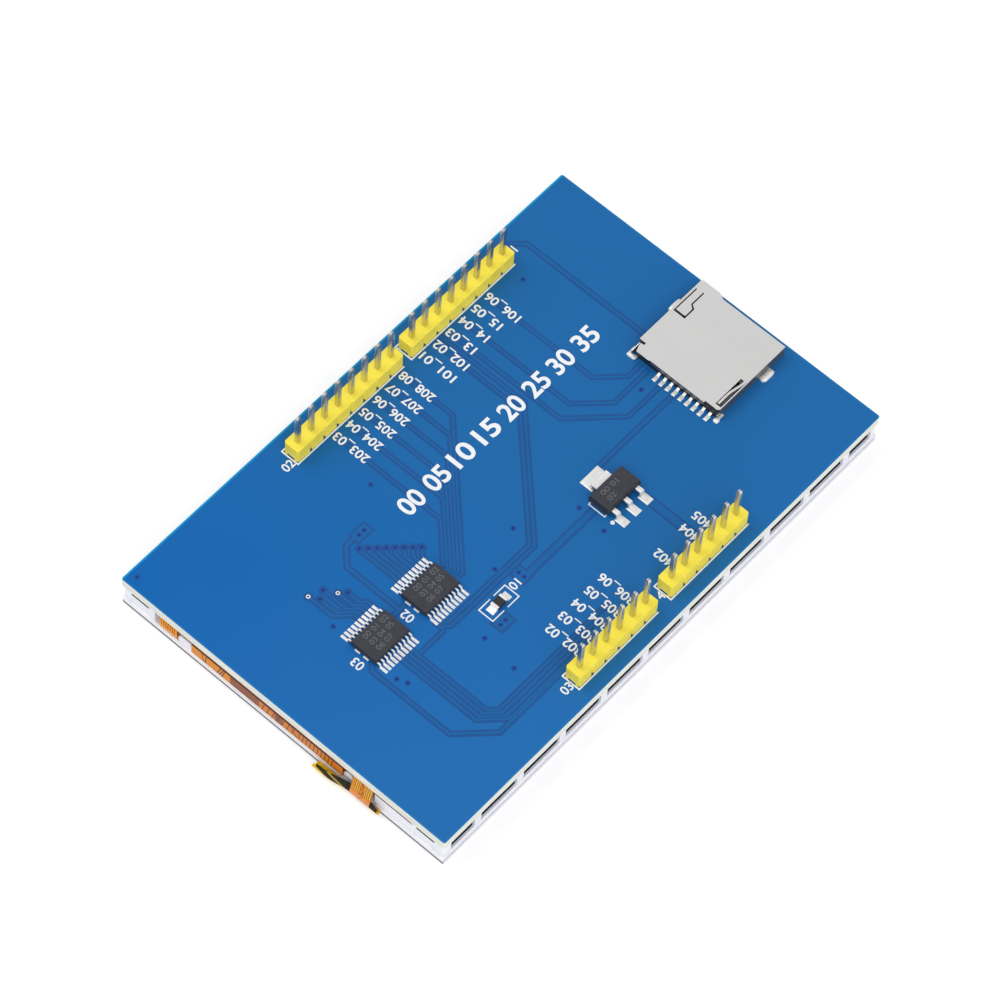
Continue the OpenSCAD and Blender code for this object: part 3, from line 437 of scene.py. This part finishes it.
FINISH = {
    "solder_mask": board_mask_and_painted_light(),
    "header_plastic": finish_of("header_finish", (0.97, 0.80, 0.063), 0.42, vary=0.04, grain=0.5),
    "pin_metal": finish_of("pin_finish", (0.62, 0.60, 0.57), 0.24, 1.0, grain=0.4, stretch=(1, 1, 5)),
    "solder": finish_of("solder_finish", (0.93, 0.92, 0.91), 0.30, 0.45, grain=0.8, depth=0.008),
    "chip_plastic": finish_of("chip_finish", (0.028, 0.031, 0.042), 0.55, vary=0.15, grain=0.12,
                              depth=0.012),
    "lead_metal": finish_of("lead_finish", (0.93, 0.92, 0.91), 0.34, 0.4, grain=0.3),
    "resistor_body": finish_of("resistor_finish", (0.02, 0.02, 0.022), 0.3, vary=0.2, grain=0.2),
    "shell_steel": socket_steel_and_painted_shade(),
    "socket_plastic": finish_of("socket_plastic_finish", (0.012, 0.012, 0.014), 0.5, vary=0.2, grain=0.3),
    "contact_gold": finish_of("contact_finish", (0.92, 0.90, 0.87), 0.34, 0.4, grain=0.3),
    "slider_plastic": finish_of("slider_finish", (0.11, 0.11, 0.115), 0.45, vary=0.05, grain=0.4),
    "spring_steel": finish_of("spring_finish", (0.55, 0.55, 0.56), 0.25, 1.0, grain=0.2),
    "touch_film_pet": layer_finish("touch_film_finish", (0.055, 0.058, 0.062), (0.14, 0.14, 0.20),
                                   (0.84, 0.83, 0.90), 0.14, 0.5),
    "gasket_adhesive": layer_finish("gasket_finish", (0.04, 0.04, 0.045), (0.10, 0.10, 0.15),
                                    (0.78, 0.77, 0.84), 0.5, 0.3),
    "touch_glass_clear": touch_glass_and_painted_shade(),
    "touch_polyimide": touch_flex_and_painted_highlights(),
    "tape_white": finish_of("tape_finish", (0.94, 0.935, 0.95), 0.6, vary=0.02, grain=0.5),
    "polarizer_film": finish_of("polarizer_finish", (0.04, 0.045, 0.05), 0.2, grain=2, depth=0.001),
    "display_glass": finish_of("display_glass_finish", (0.75, 0.80, 0.80), 0.06, vary=0.03, grain=4,
                               depth=0.0005, Transmission_Weight=0.6),
    "silicon": finish_of("silicon_finish", (0.12, 0.12, 0.15), 0.2, grain=1.0, depth=0.001),
    "display_polyimide": display_flex_and_painted_shadow(),
    "led_polyimide": led_flex_finish(),
    "led_white": finish_of("led_finish", (0.85, 0.80, 0.50), 0.4, vary=0.05, grain=0.6),
    "optical_film": finish_of("optical_film_finish", (0.80, 0.82, 0.84), 0.35, vary=0.02, grain=2,
                              depth=0.001),
    "guide_acrylic": finish_of("guide_finish", (0.84, 0.87, 0.88), 0.08, vary=0.02, grain=4, depth=0.0005,
                               Transmission_Weight=0.6),
    "reflector_film": finish_of("reflector_finish", (0.86, 0.86, 0.88), 0.3, vary=0.02, grain=2, depth=0.001),
    "frame_white": finish_of("frame_finish", (0.92, 0.90, 0.96), 0.34, vary=0.03, grain=1.0, depth=0.003,
                             Subsurface_Weight=0.15),
    # Black shield film; where its flaps sit in the slots of the corner posts, the black also stands for
    # painted shade in those slots.
    "shield_black": finish_of("shield_and_painted_shade", (0.002, 0.002, 0.006), 0.9, vary=0.2, grain=0.8,
                              Specular_IOR_Level=0.1),
    "foam_tape": finish_of("foam_finish", (0.05, 0.05, 0.055), 0.9, vary=0.2, grain=0.3, depth=0.03),
}
SLOT_OF = {entry["node"]: entry["material_slot"] for entry in frame["record"]["subparts"]}

for node_name, node_object in frame["nodes"].items():
    for material_slot in node_object.material_slots:
        material_slot.material = FINISH[SLOT_OF[node_name]]


# ------------------------------------------------------------------ making pieces

def add_piece(name, bm, slot, material=None, body=ROOT):
    """Turns a bmesh in millimetres into a piece that rides on a body."""
    mesh = bpy.data.meshes.new(name)
    bmesh.ops.recalc_face_normals(bm, faces=bm.faces)
    bm.to_mesh(mesh)
    bm.free()
    mesh.transform(Matrix.Scale(MM, 4))
    piece = bpy.data.objects.new(name, mesh)
    scene.collection.objects.link(piece)
    mesh.materials.append(material or FINISH[slot])
    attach(piece, body)


def prism(bm, outline, z0, z1):
    """Closed solid over a flat outline of (x, y) points."""
    bottom = [bm.verts.new((x, y, z0)) for x, y in outline]
    top = [bm.verts.new((x, y, z1)) for x, y in outline]
    bm.faces.new(bottom[::-1])
    bm.faces.new(top)
    count = len(outline)
    for i in range(count):
        j = (i + 1) % count
        bm.faces.new((bottom[i], bottom[j], top[j], top[i]))


def rect(x0, y0, x1, y1):
    """Corners of a rectangle, counter-clockwise."""
    return [(x0, y0), (x1, y0), (x1, y1), (x0, y1)]


def circle(x, y, r, sides=20):
    """Corners of a regular outline that stands for a circle."""
    turns = [2 * math.pi * i / sides for i in range(sides)]
    return [(x + r * math.cos(turn), y + r * math.sin(turn)) for turn in turns]


def side_points(path, offset):
    """Points beside an open path, at a mitred distance to its left."""
    points = [Vector(p) for p in path]
    found = []
    for i, point in enumerate(points):
        ahead = (points[i + 1] - point).normalized() if i + 1 < len(points) else None
        behind = (point - points[i - 1]).normalized() if i else ahead
        ahead = ahead or behind
        normal = Vector((-(ahead + behind).y, (ahead + behind).x)).normalized()
        reach = offset / max(0.3, normal.dot(Vector((-ahead.y, ahead.x))))
        found.append(tuple(point + normal * reach))
    return found


def ribbon(bm, path, width, z0, z1):
    """Flat strip of the given width along a path."""
    left = side_points(path, width / 2)
    right = side_points(path, -width / 2)
    prism(bm, right + left[::-1], z0, z1)


BEVEL_ANGLE = math.radians(32)


def refined(node, bevel, segments=2):
    """Stands for a CAD node with its edges rounded, as moulding and plating leave them."""
    source = frame["nodes"][node]
    bm = bmesh.new()
    bm.from_mesh(source.data)
    bmesh.ops.remove_doubles(bm, verts=bm.verts, dist=1e-7)
    bmesh.ops.dissolve_limit(bm, angle_limit=math.radians(0.5), verts=bm.verts, edges=bm.edges)
    mesh = bpy.data.meshes.new(node + "_dressed")
    bm.to_mesh(mesh)
    bm.free()
    mesh.shade_smooth()
    piece = bpy.data.objects.new(node + "_dressed", mesh)
    scene.collection.objects.link(piece)
    edges = piece.modifiers.new("edges", "BEVEL")
    edges.width = bevel * MM
    edges.segments = segments
    edges.limit_method = "ANGLE"
    edges.angle_limit = BEVEL_ANGLE
    edges.use_clamp_overlap = True
    flat = piece.modifiers.new("flat", "WEIGHTED_NORMAL")
    flat.mode = "FACE_AREA"
    flat.weight = 100
    evaluated = piece.evaluated_get(bpy.context.evaluated_depsgraph_get())
    piece.data = bpy.data.meshes.new_from_object(evaluated)
    piece.modifiers.clear()
    piece.data.materials.clear()
    piece.data.materials.append(FINISH[SLOT_OF[node]])
    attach(piece, source["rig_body"])
    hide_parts(node)


def shortening_spring():
    """Stands for the eject spring, which on the socket shortens between the base and the slider as the slider
    is pushed in; this copy is only smooth-shaded and keeps its length.
    """
    node = "eject_spring"
    mesh = frame["nodes"][node].data.copy()
    mesh.shade_smooth()
    piece = bpy.data.objects.new(node + "_dressed", mesh)
    scene.collection.objects.link(piece)
    start, end = middle(node), middle(node)
    start.x, end.x = low(node).x, high(node).x
    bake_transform(piece)
    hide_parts(node)


# ------------------------------------------------------------------ copper under the mask

TRACK = 0.30
CLEARANCE = 0.30
SUNK = BOARD_TOP - 0.01                                         # foot of all that lies on the board
CLEAR_TOP = BOARD_TOP + 0.004
TRACK_TOP = BOARD_TOP + 0.030
LAYER_STEP = 0.0004                                             # keeps crossing strips from sharing a face
ROW_INNER = 22.9
U2 = middle("chip_u2")
U3 = middle("chip_u3")
U5 = middle("regulator")
LEAD_PITCH = 0.65
REGULATOR_PITCH = 2.3


def lead_x(chip, index):
    """X of a chip's lead, counted from the flex cable end."""
    return chip.x + (index - 4.5) * LEAD_PITCH


def down_then_left(x, start_y, offset, end_y, end_x):
    """From a pin straight down, along a 45 degree line y = x + offset, and left to end_x."""
    return [(x, start_y), (x, x + offset), (end_y - offset, end_y), (end_x, end_y)]


def down_then_right(x, start_y, turn_y, end_y, end_x):
    """From a pin straight down to turn_y, at 45 degrees to end_y, and right to end_x."""
    return [(x, start_y), (x, turn_y), (x + turn_y - end_y, end_y), (end_x, end_y)]


def signal_tracks():
    """Centre lines of the narrow tracks, with their widths."""
    tracks = []
    for k in range(6):                                           # J2 to the side of U2
        path = down_then_left(pin_x("j2", k + 2), ROW_INNER, 12.1 - 0.68 * k, -0.98 - 0.505 * k, -13.0)
        tracks.append((path, TRACK))
    for x, offset, y, left in ((11.1, -3.75, -7.0, -18.75), (12.35, -4.65, -7.62, -19.0)):
        path = down_then_left(x, ROW_INNER, offset, y, left)     # J1 to the lower leads of U2
        tracks.append((path + [(left - 0.6, y + 0.6), (left - 0.6, U2.y - 3.3)], TRACK))
    tracks.append((down_then_right(pin_x("j1", 2), ROW_INNER, 2.65, -3.68, 26.8), TRACK))
    tracks.append((down_then_right(pin_x("j1", 3), ROW_INNER, 3.2, -0.93, 27.4), TRACK))
    tracks.append((down_then_right(pin_x("j1", 5), ROW_INNER, 3.7, 0.38, 27.4), TRACK))
    tracks.append(([(28.4, 25.2), (29.5, 25.2), (30.95, 23.7), (30.95, 2.2)], TRACK + 0.1))
    tracks.append(([(11.6, -5.8), (26.8, -5.8)], TRACK + 0.1))   # regulator tab to the card socket
    for k in range(4):                                           # U3 to J3
        x, y = lead_x(U3, 4 + k), -21.9 + 0.62 * k
        pin = pin_x("j3", 1 + k)
        path = [(x, U3.y - 3.3), (x, -18.9), (x - 18.9 - y, y), (pin - 0.6, y), (pin, y - 0.6), (pin, -23.2)]
        tracks.append((path, TRACK))
    path = [(-29.6, -3.75), (-30.62, -4.75), (-30.62, -17.8), (-26.15, -22.27), (-13.4, -22.27)]
    tracks.append((path, TRACK + 0.05))
    first = lead_x(U2, 0)
    tracks.append(([(-24.6, -7.38), (-20.3, -7.38), (first, -7.05), (first, U2.y - 3.3)], TRACK))
    for k, (x, y) in enumerate(VIAS_U3):                         # vias to the upper leads of U3
        lead = lead_x(U3, 5 + k)
        turn = 2.6 + 0.9 * (lead - x)
        tracks.append(([(x, y), (x, turn), (lead, turn - (lead - x)), (lead, U3.y + 3.4)], TRACK))
    for k, (x, y) in enumerate(VIAS_U2):                         # vias to the upper leads of U2
        lead = lead_x(U2, 2 + k)
        tracks.append(([(x, y), (lead, y - abs(x - lead) - 0.1), (lead, U2.y + 3.4)], TRACK))
    tracks.append(([(-17.9, 10.0), (-19.4, 10.0), (-21.65, 7.8), (-21.65, -1.2)], TRACK + 0.1))
    tracks.append(([(-23.0, -1.25), (-20.4, -1.25)], TRACK + 0.1))
    return tracks


VIAS_U3 = [(-28.2, 8.5), (-27.45, 7.15), (-26.23, 7.75), (-25.25, 6.1), (-24.33, 5.25)]
VIAS_U2 = [(-18.56 + 0.8 * k, 8.49 - 0.81 * k) for k in range(8)]
VIA_CLEARANCE, VIA_PAD, VIA_RING, VIA_HOLE = 0.62, 0.36, 0.30, 0.14
LOOSE_VIAS = [
    (-40.96, 26.3), (-10.56, 13.86), (-29.23, 3.28), (-29.34, -7.7), (-28.8, -9.1), (-17.39, -11.9),
    (-18.06, -17.5), (-9.0, -6.15), (-2.86, -3.86), (24.2, -2.2), (5.24, -8.06), (4.84, -12.65),
    (26.4, 20.36),
]
ISLAND_VIAS = [(-17.1, 9.89), (-16.15, 9.89), (-7.25, -8.7), (-7.25, -9.65), (-14.56, -12.1), (-13.58, -12.1)]
POWER_TRACKS = [
    ([(12.28, -13.6), (12.28, -23.0)], 1.02),
    ([(-7.4, -9.68), (6.6, -9.68)], 0.72),
]
COPPER_ISLANDS = [
    rect(-17.9, 9.2, -15.4, 10.6), rect(-8.1, -10.2, -6.5, -8.2), rect(-15.1, -12.9, -12.9, -11.2),
]


def grown(outline, by):
    """Rectangle outline moved out on all sides."""
    xs, ys = [p[0] for p in outline], [p[1] for p in outline]
    return rect(min(xs) - by, min(ys) - by, max(xs) + by, max(ys) + by)


def copper():
    """Clearances cut round each track, island and via, and the copper left inside them."""
    gaps, tracks = bmesh.new(), bmesh.new()
    step = LAYER_STEP
    routed = signal_tracks() + POWER_TRACKS
    for i, (path, width) in enumerate(routed):
        ribbon(gaps, path, width + 2 * CLEARANCE, SUNK, CLEAR_TOP + i * step)
        ribbon(tracks, path, width, SUNK, TRACK_TOP + i * step / 4)
    top = CLEAR_TOP + len(routed) * step
    for i, island in enumerate(COPPER_ISLANDS):
        prism(gaps, grown(island, CLEARANCE), SUNK, top + i * step)
        prism(tracks, island, SUNK, TRACK_TOP + 0.006 + i * step)
    for i, (x, y) in enumerate(VIAS_U2 + VIAS_U3):
        prism(gaps, circle(x, y, VIA_CLEARANCE), SUNK, top + 0.0012 + i * step / 8)
    add_piece("copper_clearances", gaps, "solder_mask", MASK_FINISH["gap"])
    add_piece("copper_tracks", tracks, "solder_mask", MASK_FINISH["track"])


def vias():
    """Tented vias: a soft pad with a dark hole, two of them with bare gold rings."""
    pads, holes, rings = bmesh.new(), bmesh.new(), bmesh.new()
    top = BOARD_TOP + 0.040
    for x, y in VIAS_U2 + VIAS_U3 + LOOSE_VIAS + ISLAND_VIAS:
        prism(pads, circle(x, y, VIA_PAD), SUNK, top)
        prism(holes, circle(x, y, VIA_HOLE, 14), SUNK, top + 0.003)
    for x, y in (VIAS_U3[0], VIAS_U3[3]):
        prism(rings, circle(x, y, VIA_RING), SUNK, top + 0.0015)
    add_piece("via_pads", pads, "solder_mask", MASK_FINISH["via"])
    add_piece("via_holes", holes, "solder_mask", MASK_FINISH["hole"])
    add_piece("via_rings", rings, "contact_gold")


MASK_FINISH = {
    "gap": finish_of("mask_gap", MASK_GAP, 0.32, vary=0.04, grain=1.0, Specular_IOR_Level=MASK_GLOSS),
    "track": finish_of("mask_track", MASK_TRACK, 0.32, vary=0.04, grain=1.0, Specular_IOR_Level=MASK_GLOSS),
    "via": finish_of("mask_via", (0.014, 0.070, 0.32), 0.32, vary=0.05, grain=1.0,
                     Specular_IOR_Level=MASK_GLOSS),
    "hole": finish_of("mask_hole", (0.008, 0.018, 0.07), 0.5, vary=0.1, grain=0.5,
                      Specular_IOR_Level=MASK_GLOSS),
    "marking": finish_of("marking_grey", (0.115, 0.12, 0.13), 0.6, vary=0.1, grain=0.3),
    "print": finish_of("print_white", (0.86, 0.88, 0.90), 0.55, vary=0.03, grain=0.25, depth=0.006),
}


# ------------------------------------------------------------------ white print

PRINT_Z = (SUNK, BOARD_TOP + 0.050)
LINE = 0.16
MARKING_PITCH = 1.15


def number(bm, text, x, y, height, turn=0.0, weight=0.0, anchor=0.0, z=PRINT_Z, length=None):
    """Digits of a given height, and length if it is given, on a base line from (x, y).

    anchor 0, 0.5 or 1 is the start, middle or end of the line; weight thickens the strokes."""
    curve = bpy.data.curves.new("digits", "FONT")
    curve.body = text
    curve.offset = weight
    curve.extrude = 0.5
    holder = bpy.data.objects.new("digits", curve)
    scene.collection.objects.link(holder)
    mesh = holder.to_mesh()
    xs = [v.co.x for v in mesh.vertices]
    scale = height / max(v.co.y for v in mesh.vertices)
    across = length / (max(xs) - min(xs)) if length else scale
    start = min(xs) + (max(xs) - min(xs)) * anchor
    place = (
        Matrix.Translation((x, y, (z[0] + z[1]) / 2)) @ Matrix.Rotation(math.radians(turn), 4, "Z")
        @ Matrix.Diagonal((across, scale, z[1] - z[0], 1)) @ Matrix.Translation((-start, 0, 0))
    )
    mesh.transform(place)
    bm.from_mesh(mesh)
    holder.to_mesh_clear()
    bpy.data.objects.remove(holder)
    bpy.data.curves.remove(curve)


def print_line(bm, path, width=LINE):
    """Printed line along a path."""
    ribbon(bm, path, width, *PRINT_Z)


LABEL_HEIGHT = 1.30
LABEL_Y = 22.3


def pin_labels(bm):
    """Beside each used pin a plain number: header and place, a low dash and the place in its row."""
    for header, first, last, side in (("j2", 2, 7, -1), ("j1", 0, 5, -1), ("j3", 1, 5, 1), ("j4", 1, 4, 1)):
        for k in range(first, last + 1):
            if header == "j4" and k == 2:
                continue
            x = pin_x(header, k) + LABEL_HEIGHT / 2
            text, length = "%s%02d_%02d" % (header[1], k + 1, k + 1), 5.75
            if header == "j1" and 1 < k < 5:
                text, length = "%s%d_%02d" % (header[1], k + 1, k + 1), 4.8
            if header == "j4":
                text, length = "%s%02d" % (header[1], k + 1), 2.9
            anchor = 0.0 if side > 0 else 1.0
            number(bm, text, x, side * -LABEL_Y, LABEL_HEIGHT, 90, 0.018, anchor, length=length)


def header_outlines(bm):
    """A line round each header, open at its end towards the card socket."""
    gap = 0.17
    for header in PIN_COUNTS:
        x0, x1 = low("header_" + header).x, high("header_" + header).x
        y0, y1 = low("header_" + header).y, high("header_" + header).y
        path = [(x1 - 0.1, y0 - gap), (x0 - gap, y0 - gap), (x0 - gap, y1 + gap), (x0 + 0.6, y1 + gap)]
        print_line(bm, path, 0.2)


def component_outlines(bm):
    """Marks round the resistor, the regulator and the chips."""
    rx, ry = middle("resistor").x, middle("resistor").y
    for side in (-1, 1):                                        # brackets round the resistor
        outer, inner = rx + side * 2.5, rx + side * 0.35
        print_line(bm, [(inner, ry - 1.2), (outer, ry - 1.2), (outer, ry + 1.2), (inner, ry + 1.2)])
    vx, vy = low("regulator").x, middle("regulator").y
    bracket = [(vx + 0.3, vy - 1.35), (vx - 0.15, vy - 1.35), (vx - 0.15, vy + 1.4), (vx + 0.3, vy + 1.4)]
    print_line(bm, bracket)
    prism(bm, circle(vx - 0.1, vy - 2.65, 0.3), *PRINT_Z)
    for chip in (U2, U3):                                       # two dashes at the end of each chip
        for y0, y1 in ((-1.0, -0.15), (0.45, 1.3)):
            x = chip.x - 3.25
            print_line(bm, [(x, chip.y + y0), (x, chip.y + y1)], 0.24)


def part_numbers(bm):
    """Small numbers beside the headers, the resistor and the chips."""
    for text, x, y, anchor in (("02", -14.9, 22.9, 1), ("03", -14.9, -24.9, 1), ("4", 3.0, -24.8, 1),
                               ("1", 29.1, 23.8, 0), ("01", -9.6, -10.1, 0)):
        number(bm, text, x, y, 1.25, anchor=anchor, weight=0.012)
    for text, x in (("02", -21.1), ("03", -30.5)):
        number(bm, text, x, -3.5, 1.3, 90, 0.014)


def scale_bar(bm):
    """Row of plain numbers along the board, where such boards carry their large print."""
    start, pitch, y = -10.7, 4.86, 7.0
    for k in range(8):
        number(bm, "%02d" % (5 * k), start + pitch * k, y, 2.7, weight=0.022, length=3.6)


def marking(bm, rows, node, x, y, height, lengths):
    """Rows of plain numbers on top of a moulded package."""
    z = high(node).z
    for row, (text, length) in enumerate(zip(rows, lengths)):
        number(bm, text, x, y - MARKING_PITCH * row, height, z=(z - 0.01, z + 0.006), length=length)


def chip_markings():
    """Faint plain numbers on the moulded packages."""
    bm = bmesh.new()
    for chip, node in ((U2, "chip_u2"), (U3, "chip_u3")):
        rows = ("00 01 02", "03 04 05", "06 07")
        marking(bm, rows, node, chip.x - 1.7, chip.y + 0.85, 0.78, (4.4, 4.1, 2.8))
    marking(bm, ("00 01", "02"), "regulator", U5.x - 1.9, U5.y + 0.25, 0.75, (3.0, 1.3))
    add_piece("chip_markings", bm, "chip_plastic", MASK_FINISH["marking"])


def white_print():
    """All the white print, as one piece."""
    bm = bmesh.new()
    pin_labels(bm)
    header_outlines(bm)
    component_outlines(bm)
    part_numbers(bm)
    scale_bar(bm)
    add_piece("white_print", bm, "solder_mask", MASK_FINISH["print"])


# ------------------------------------------------------------------ pads and solder

def fillet(bm, x0, y0, x1, y1, toe, z_high):
    """Solder over a pad that rises towards the side away from its toe; toe is (dx, dy)."""
    pad = rect(x0, y0, x1, y1)
    crown_share, toe_high = 0.76, 0.06
    cx, cy = (x0 + x1) / 2, (y0 + y1) / 2
    base = [bm.verts.new((x, y, SUNK)) for x, y in pad]
    edge = [bm.verts.new((x, y, BOARD_TOP + 0.03)) for x, y in pad]
    crown = []
    for x, y in pad:
        sx, sy = cx + (x - cx) * crown_share, cy + (y - cy) * crown_share
        out = (x - cx) * toe[0] + (y - cy) * toe[1] > 0
        crown.append(bm.verts.new((sx, sy, BOARD_TOP + (toe_high if out else z_high))))
    bm.faces.new(base[::-1])
    bm.faces.new(crown)
    for i in range(4):
        j = (i + 1) % 4
        bm.faces.new((base[i], base[j], edge[j], edge[i]))
        bm.faces.new((edge[i], edge[j], crown[j], crown[i]))


def cable_pad_edge():
    """Cut edge of the display cable's pad, under the rim of the board."""
    bm = bmesh.new()
    x = low("backlight_frame").x
    for y0, y1, z0 in ((-22.0, -16.0, 3.80), (-12.2, -11.3, 3.85)):
        prism(bm, rect(x - 0.09, y0, x + 0.05, y1), z0, 4.08)
    add_piece("cable_pad_edge", bm, "display_polyimide", EDGE_FINISH)


EDGE_FINISH = finish_of("cable_edge_finish", (0.17, 0.035, 0.020), 0.5, vary=0.2, grain=0.6)


def bead(bm, x0, y0, x1, y1, height):
    """Rounded bump of solder over a rectangle: rings that close in from the board to the crown."""
    cx, cy, rx, ry = (x0 + x1) / 2, (y0 + y1) / 2, (x1 - x0) / 2, (y1 - y0) / 2
    sides, rings = 24, []
    for level in range(-1, 5):
        lift = math.radians(max(0, level) * 19)
        ring = []
        for i in range(sides):
            turn = 2 * math.pi * i / sides
            c, s = math.cos(turn), math.sin(turn)
            ring.append(bm.verts.new((
                cx + rx * math.cos(lift) * math.copysign(abs(c) ** 0.6, c),
                cy + ry * math.cos(lift) * math.copysign(abs(s) ** 0.6, s),
                BOARD_TOP + height * math.sin(lift) if level >= 0 else SUNK,
            )))
        rings.append(ring)
    bm.faces.new(rings[0][::-1])
    bm.faces.new(rings[-1])
    for lower, upper in zip(rings, rings[1:]):
        for i in range(sides):
            j = (i + 1) % sides
            bm.faces.new((lower[i], lower[j], upper[j], upper[i])).smooth = True


def solder_joints():
    """Solder at each lead, cap, contact and foot, as one piece."""
    bm = bmesh.new()
    for chip in (U2, U3):
        for k in range(10):
            x = lead_x(chip, k)
            for side in (-1, 1):
                inner, outer = chip.y + side * 2.75, chip.y + side * 3.95
                fillet(bm, x - 0.21, min(inner, outer), x + 0.21, max(inner, outer), (0, side), 0.12)
    for k in (-1, 0, 1):
        x = U5.x + k * REGULATOR_PITCH
        fillet(bm, x - 0.62, U5.y - 4.25, x + 0.62, U5.y - 2.5, (0, -1), 0.08)
    fillet(bm, U5.x - 1.75, U5.y + 2.3, U5.x + 1.75, U5.y + 4.4, (0, 1), 0.08)
    res = middle("resistor")
    for side in (-1, 1):
        inner, outer = res.x + side * 0.62, res.x + side * 1.85
        fillet(bm, min(inner, outer), res.y - 0.62, max(inner, outer), res.y + 0.62, (side, 0), 0.36)
    contact = low("card_contacts").x
    first, last = high("card_contacts").y - 0.2, low("detect_contact").y + 0.2
    for k in range(9):
        y = first + (last - first) * k / 8
        fillet(bm, contact - 0.15, y - 0.3, contact + 0.75, y + 0.3, (-1, 0), 0.1)
    shell = low("socket_shell"), high("socket_shell")
    mouth = high("socket_base").x + 0.6
    for y0, y1 in ((shell[0].y - 0.12, shell[0].y + 0.95), (shell[1].y - 0.95, shell[1].y + 0.12)):
        bead(bm, mouth - 5.3, y0, mouth - 2.9, y1, 0.38)
    near = shell[0].x
    bead(bm, near - 0.1, shell[1].y - 1.95, near + 0.6, shell[1].y - 0.45, 0.34)
    bead(bm, near - 0.1, shell[0].y + 0.40, near + 0.75, shell[0].y + 1.20, 0.34)
    add_piece("solder_joints", bm, "solder")


# ------------------------------------------------------------------ assembling the look

copper()
vias()
white_print()
chip_markings()
solder_joints()
cable_pad_edge()

for header in PIN_COUNTS:
    refined("header_" + header, 0.09)
    refined("pins_" + header, 0.04)
for chip in ("chip_u2", "chip_u3"):
    refined(chip, 0.06)
    refined(chip + "_leads", 0.03, 1)
refined("regulator", 0.08)
refined("regulator_leads", 0.05)
refined("regulator_tab", 0.05)
refined("resistor_caps", 0.04)
refined("socket_shell", 0.05)
refined("backlight_frame", 0.06)
shortening_spring()


# ------------------------------------------------------------------ floor, light and camera

FLOOR_HALF = 3.0                                                # metres
FLOOR_Z = -0.00005
FLOOR_GREY = 0.80
FLOOR_GLOW = 0.32                                               # seen only; it lights nothing
WORLD_LIGHT = 0.60
WORLD_SEEN = 1.0


def floor():
    """Pale floor that keeps the shadow; the camera and clear or shiny things see it as white."""
    mesh = bpy.data.meshes.new("floor")
    half, z = FLOOR_HALF, FLOOR_Z
    corners = [(x, y, z) for x, y in rect(-half, -half, half, half)]
    mesh.from_pydata(corners, [], [(0, 1, 2, 3)])
    ground = bpy.data.objects.new("floor", mesh)
    scene.collection.objects.link(ground)
    material = bpy.data.materials.new("floor_white")
    tree, bsdf = nodes_of(material)
    g = Graph(tree)
    bsdf.inputs["Base Color"].default_value = (FLOOR_GREY, FLOOR_GREY, FLOOR_GREY, 1)
    bsdf.inputs["Roughness"].default_value = 0.9
    path = tree.nodes.new("ShaderNodeLightPath")
    seen = g.math("MAXIMUM", path.outputs["Is Camera Ray"], path.outputs["Is Glossy Ray"])
    seen = g.math("MAXIMUM", seen, path.outputs["Is Transmission Ray"])
    bsdf.inputs["Emission Color"].default_value = (1, 1, 1, 1)
    g.link(g.math("MULTIPLY", seen, FLOOR_GLOW), bsdf.inputs["Emission Strength"])
    mesh.materials.append(material)


def world_light():
    """Even soft light, and a white background."""
    world = bpy.data.worlds.new("studio")
    scene.world = world
    world.use_nodes = True
    tree = world.node_tree
    background = tree.nodes["Background"]
    background.inputs["Color"].default_value = (1, 1, 1, 1)
    path = tree.nodes.new("ShaderNodeLightPath")
    g = Graph(tree)
    seen = g.math("MAXIMUM", path.outputs["Is Camera Ray"], path.outputs["Is Transmission Ray"])
    extra = g.math("MULTIPLY", seen, WORLD_SEEN - WORLD_LIGHT)
    g.link(g.math("ADD", extra, WORLD_LIGHT), background.inputs["Strength"])


def area_light(name, direction, distance, size, power):
    """Square soft light that faces the object; its distance and size are in metres, its power in watts."""
    data = bpy.data.lights.new(name, "AREA")
    data.energy = power
    data.size = size
    lamp = bpy.data.objects.new(name, data)
    scene.collection.objects.link(lamp)
    towards = Vector(direction).normalized()
    lamp.location = towards * distance
    lamp.rotation_mode = "QUATERNION"
    lamp.rotation_quaternion = towards.to_track_quat("Z", "Y")


LENS, SENSOR = 190.95, 36                                       # millimetres
DISTANCE = 0.6823                                               # metres
AZIMUTH = -52.71
ELEVATION = 59.50
ROLL = 5.05
AIM = (-0.87, 0.17, BOARD_TOP)


def camera():
    """Camera at the angle of the photograph, turned by ROLL about its own axis."""
    data = bpy.data.cameras.new("camera")
    data.lens = LENS
    data.sensor_width = SENSOR
    data.clip_start, data.clip_end = 0.01, 20
    holder = bpy.data.objects.new("camera", data)
    scene.collection.objects.link(holder)
    a, e = math.radians(AZIMUTH), math.radians(ELEVATION)
    back = Vector((math.sin(a) * math.cos(e), -math.cos(a) * math.cos(e), math.sin(e)))
    holder.location = Vector(AIM) * MM + back * DISTANCE
    holder.rotation_mode = "QUATERNION"
    holder.rotation_quaternion = (-back).to_track_quat("-Z", "Y") @ Quaternion((0, 0, 1), math.radians(ROLL))
    scene.camera = holder


floor()
world_light()
area_light("key", (-0.25, 0.75, 1.0), 1.2, 0.9, 4.4)
area_light("fill", (-0.6, -1.0, 0.8), 1.4, 1.8, 12.5)
camera()

scene.view_settings.view_transform = "Standard"
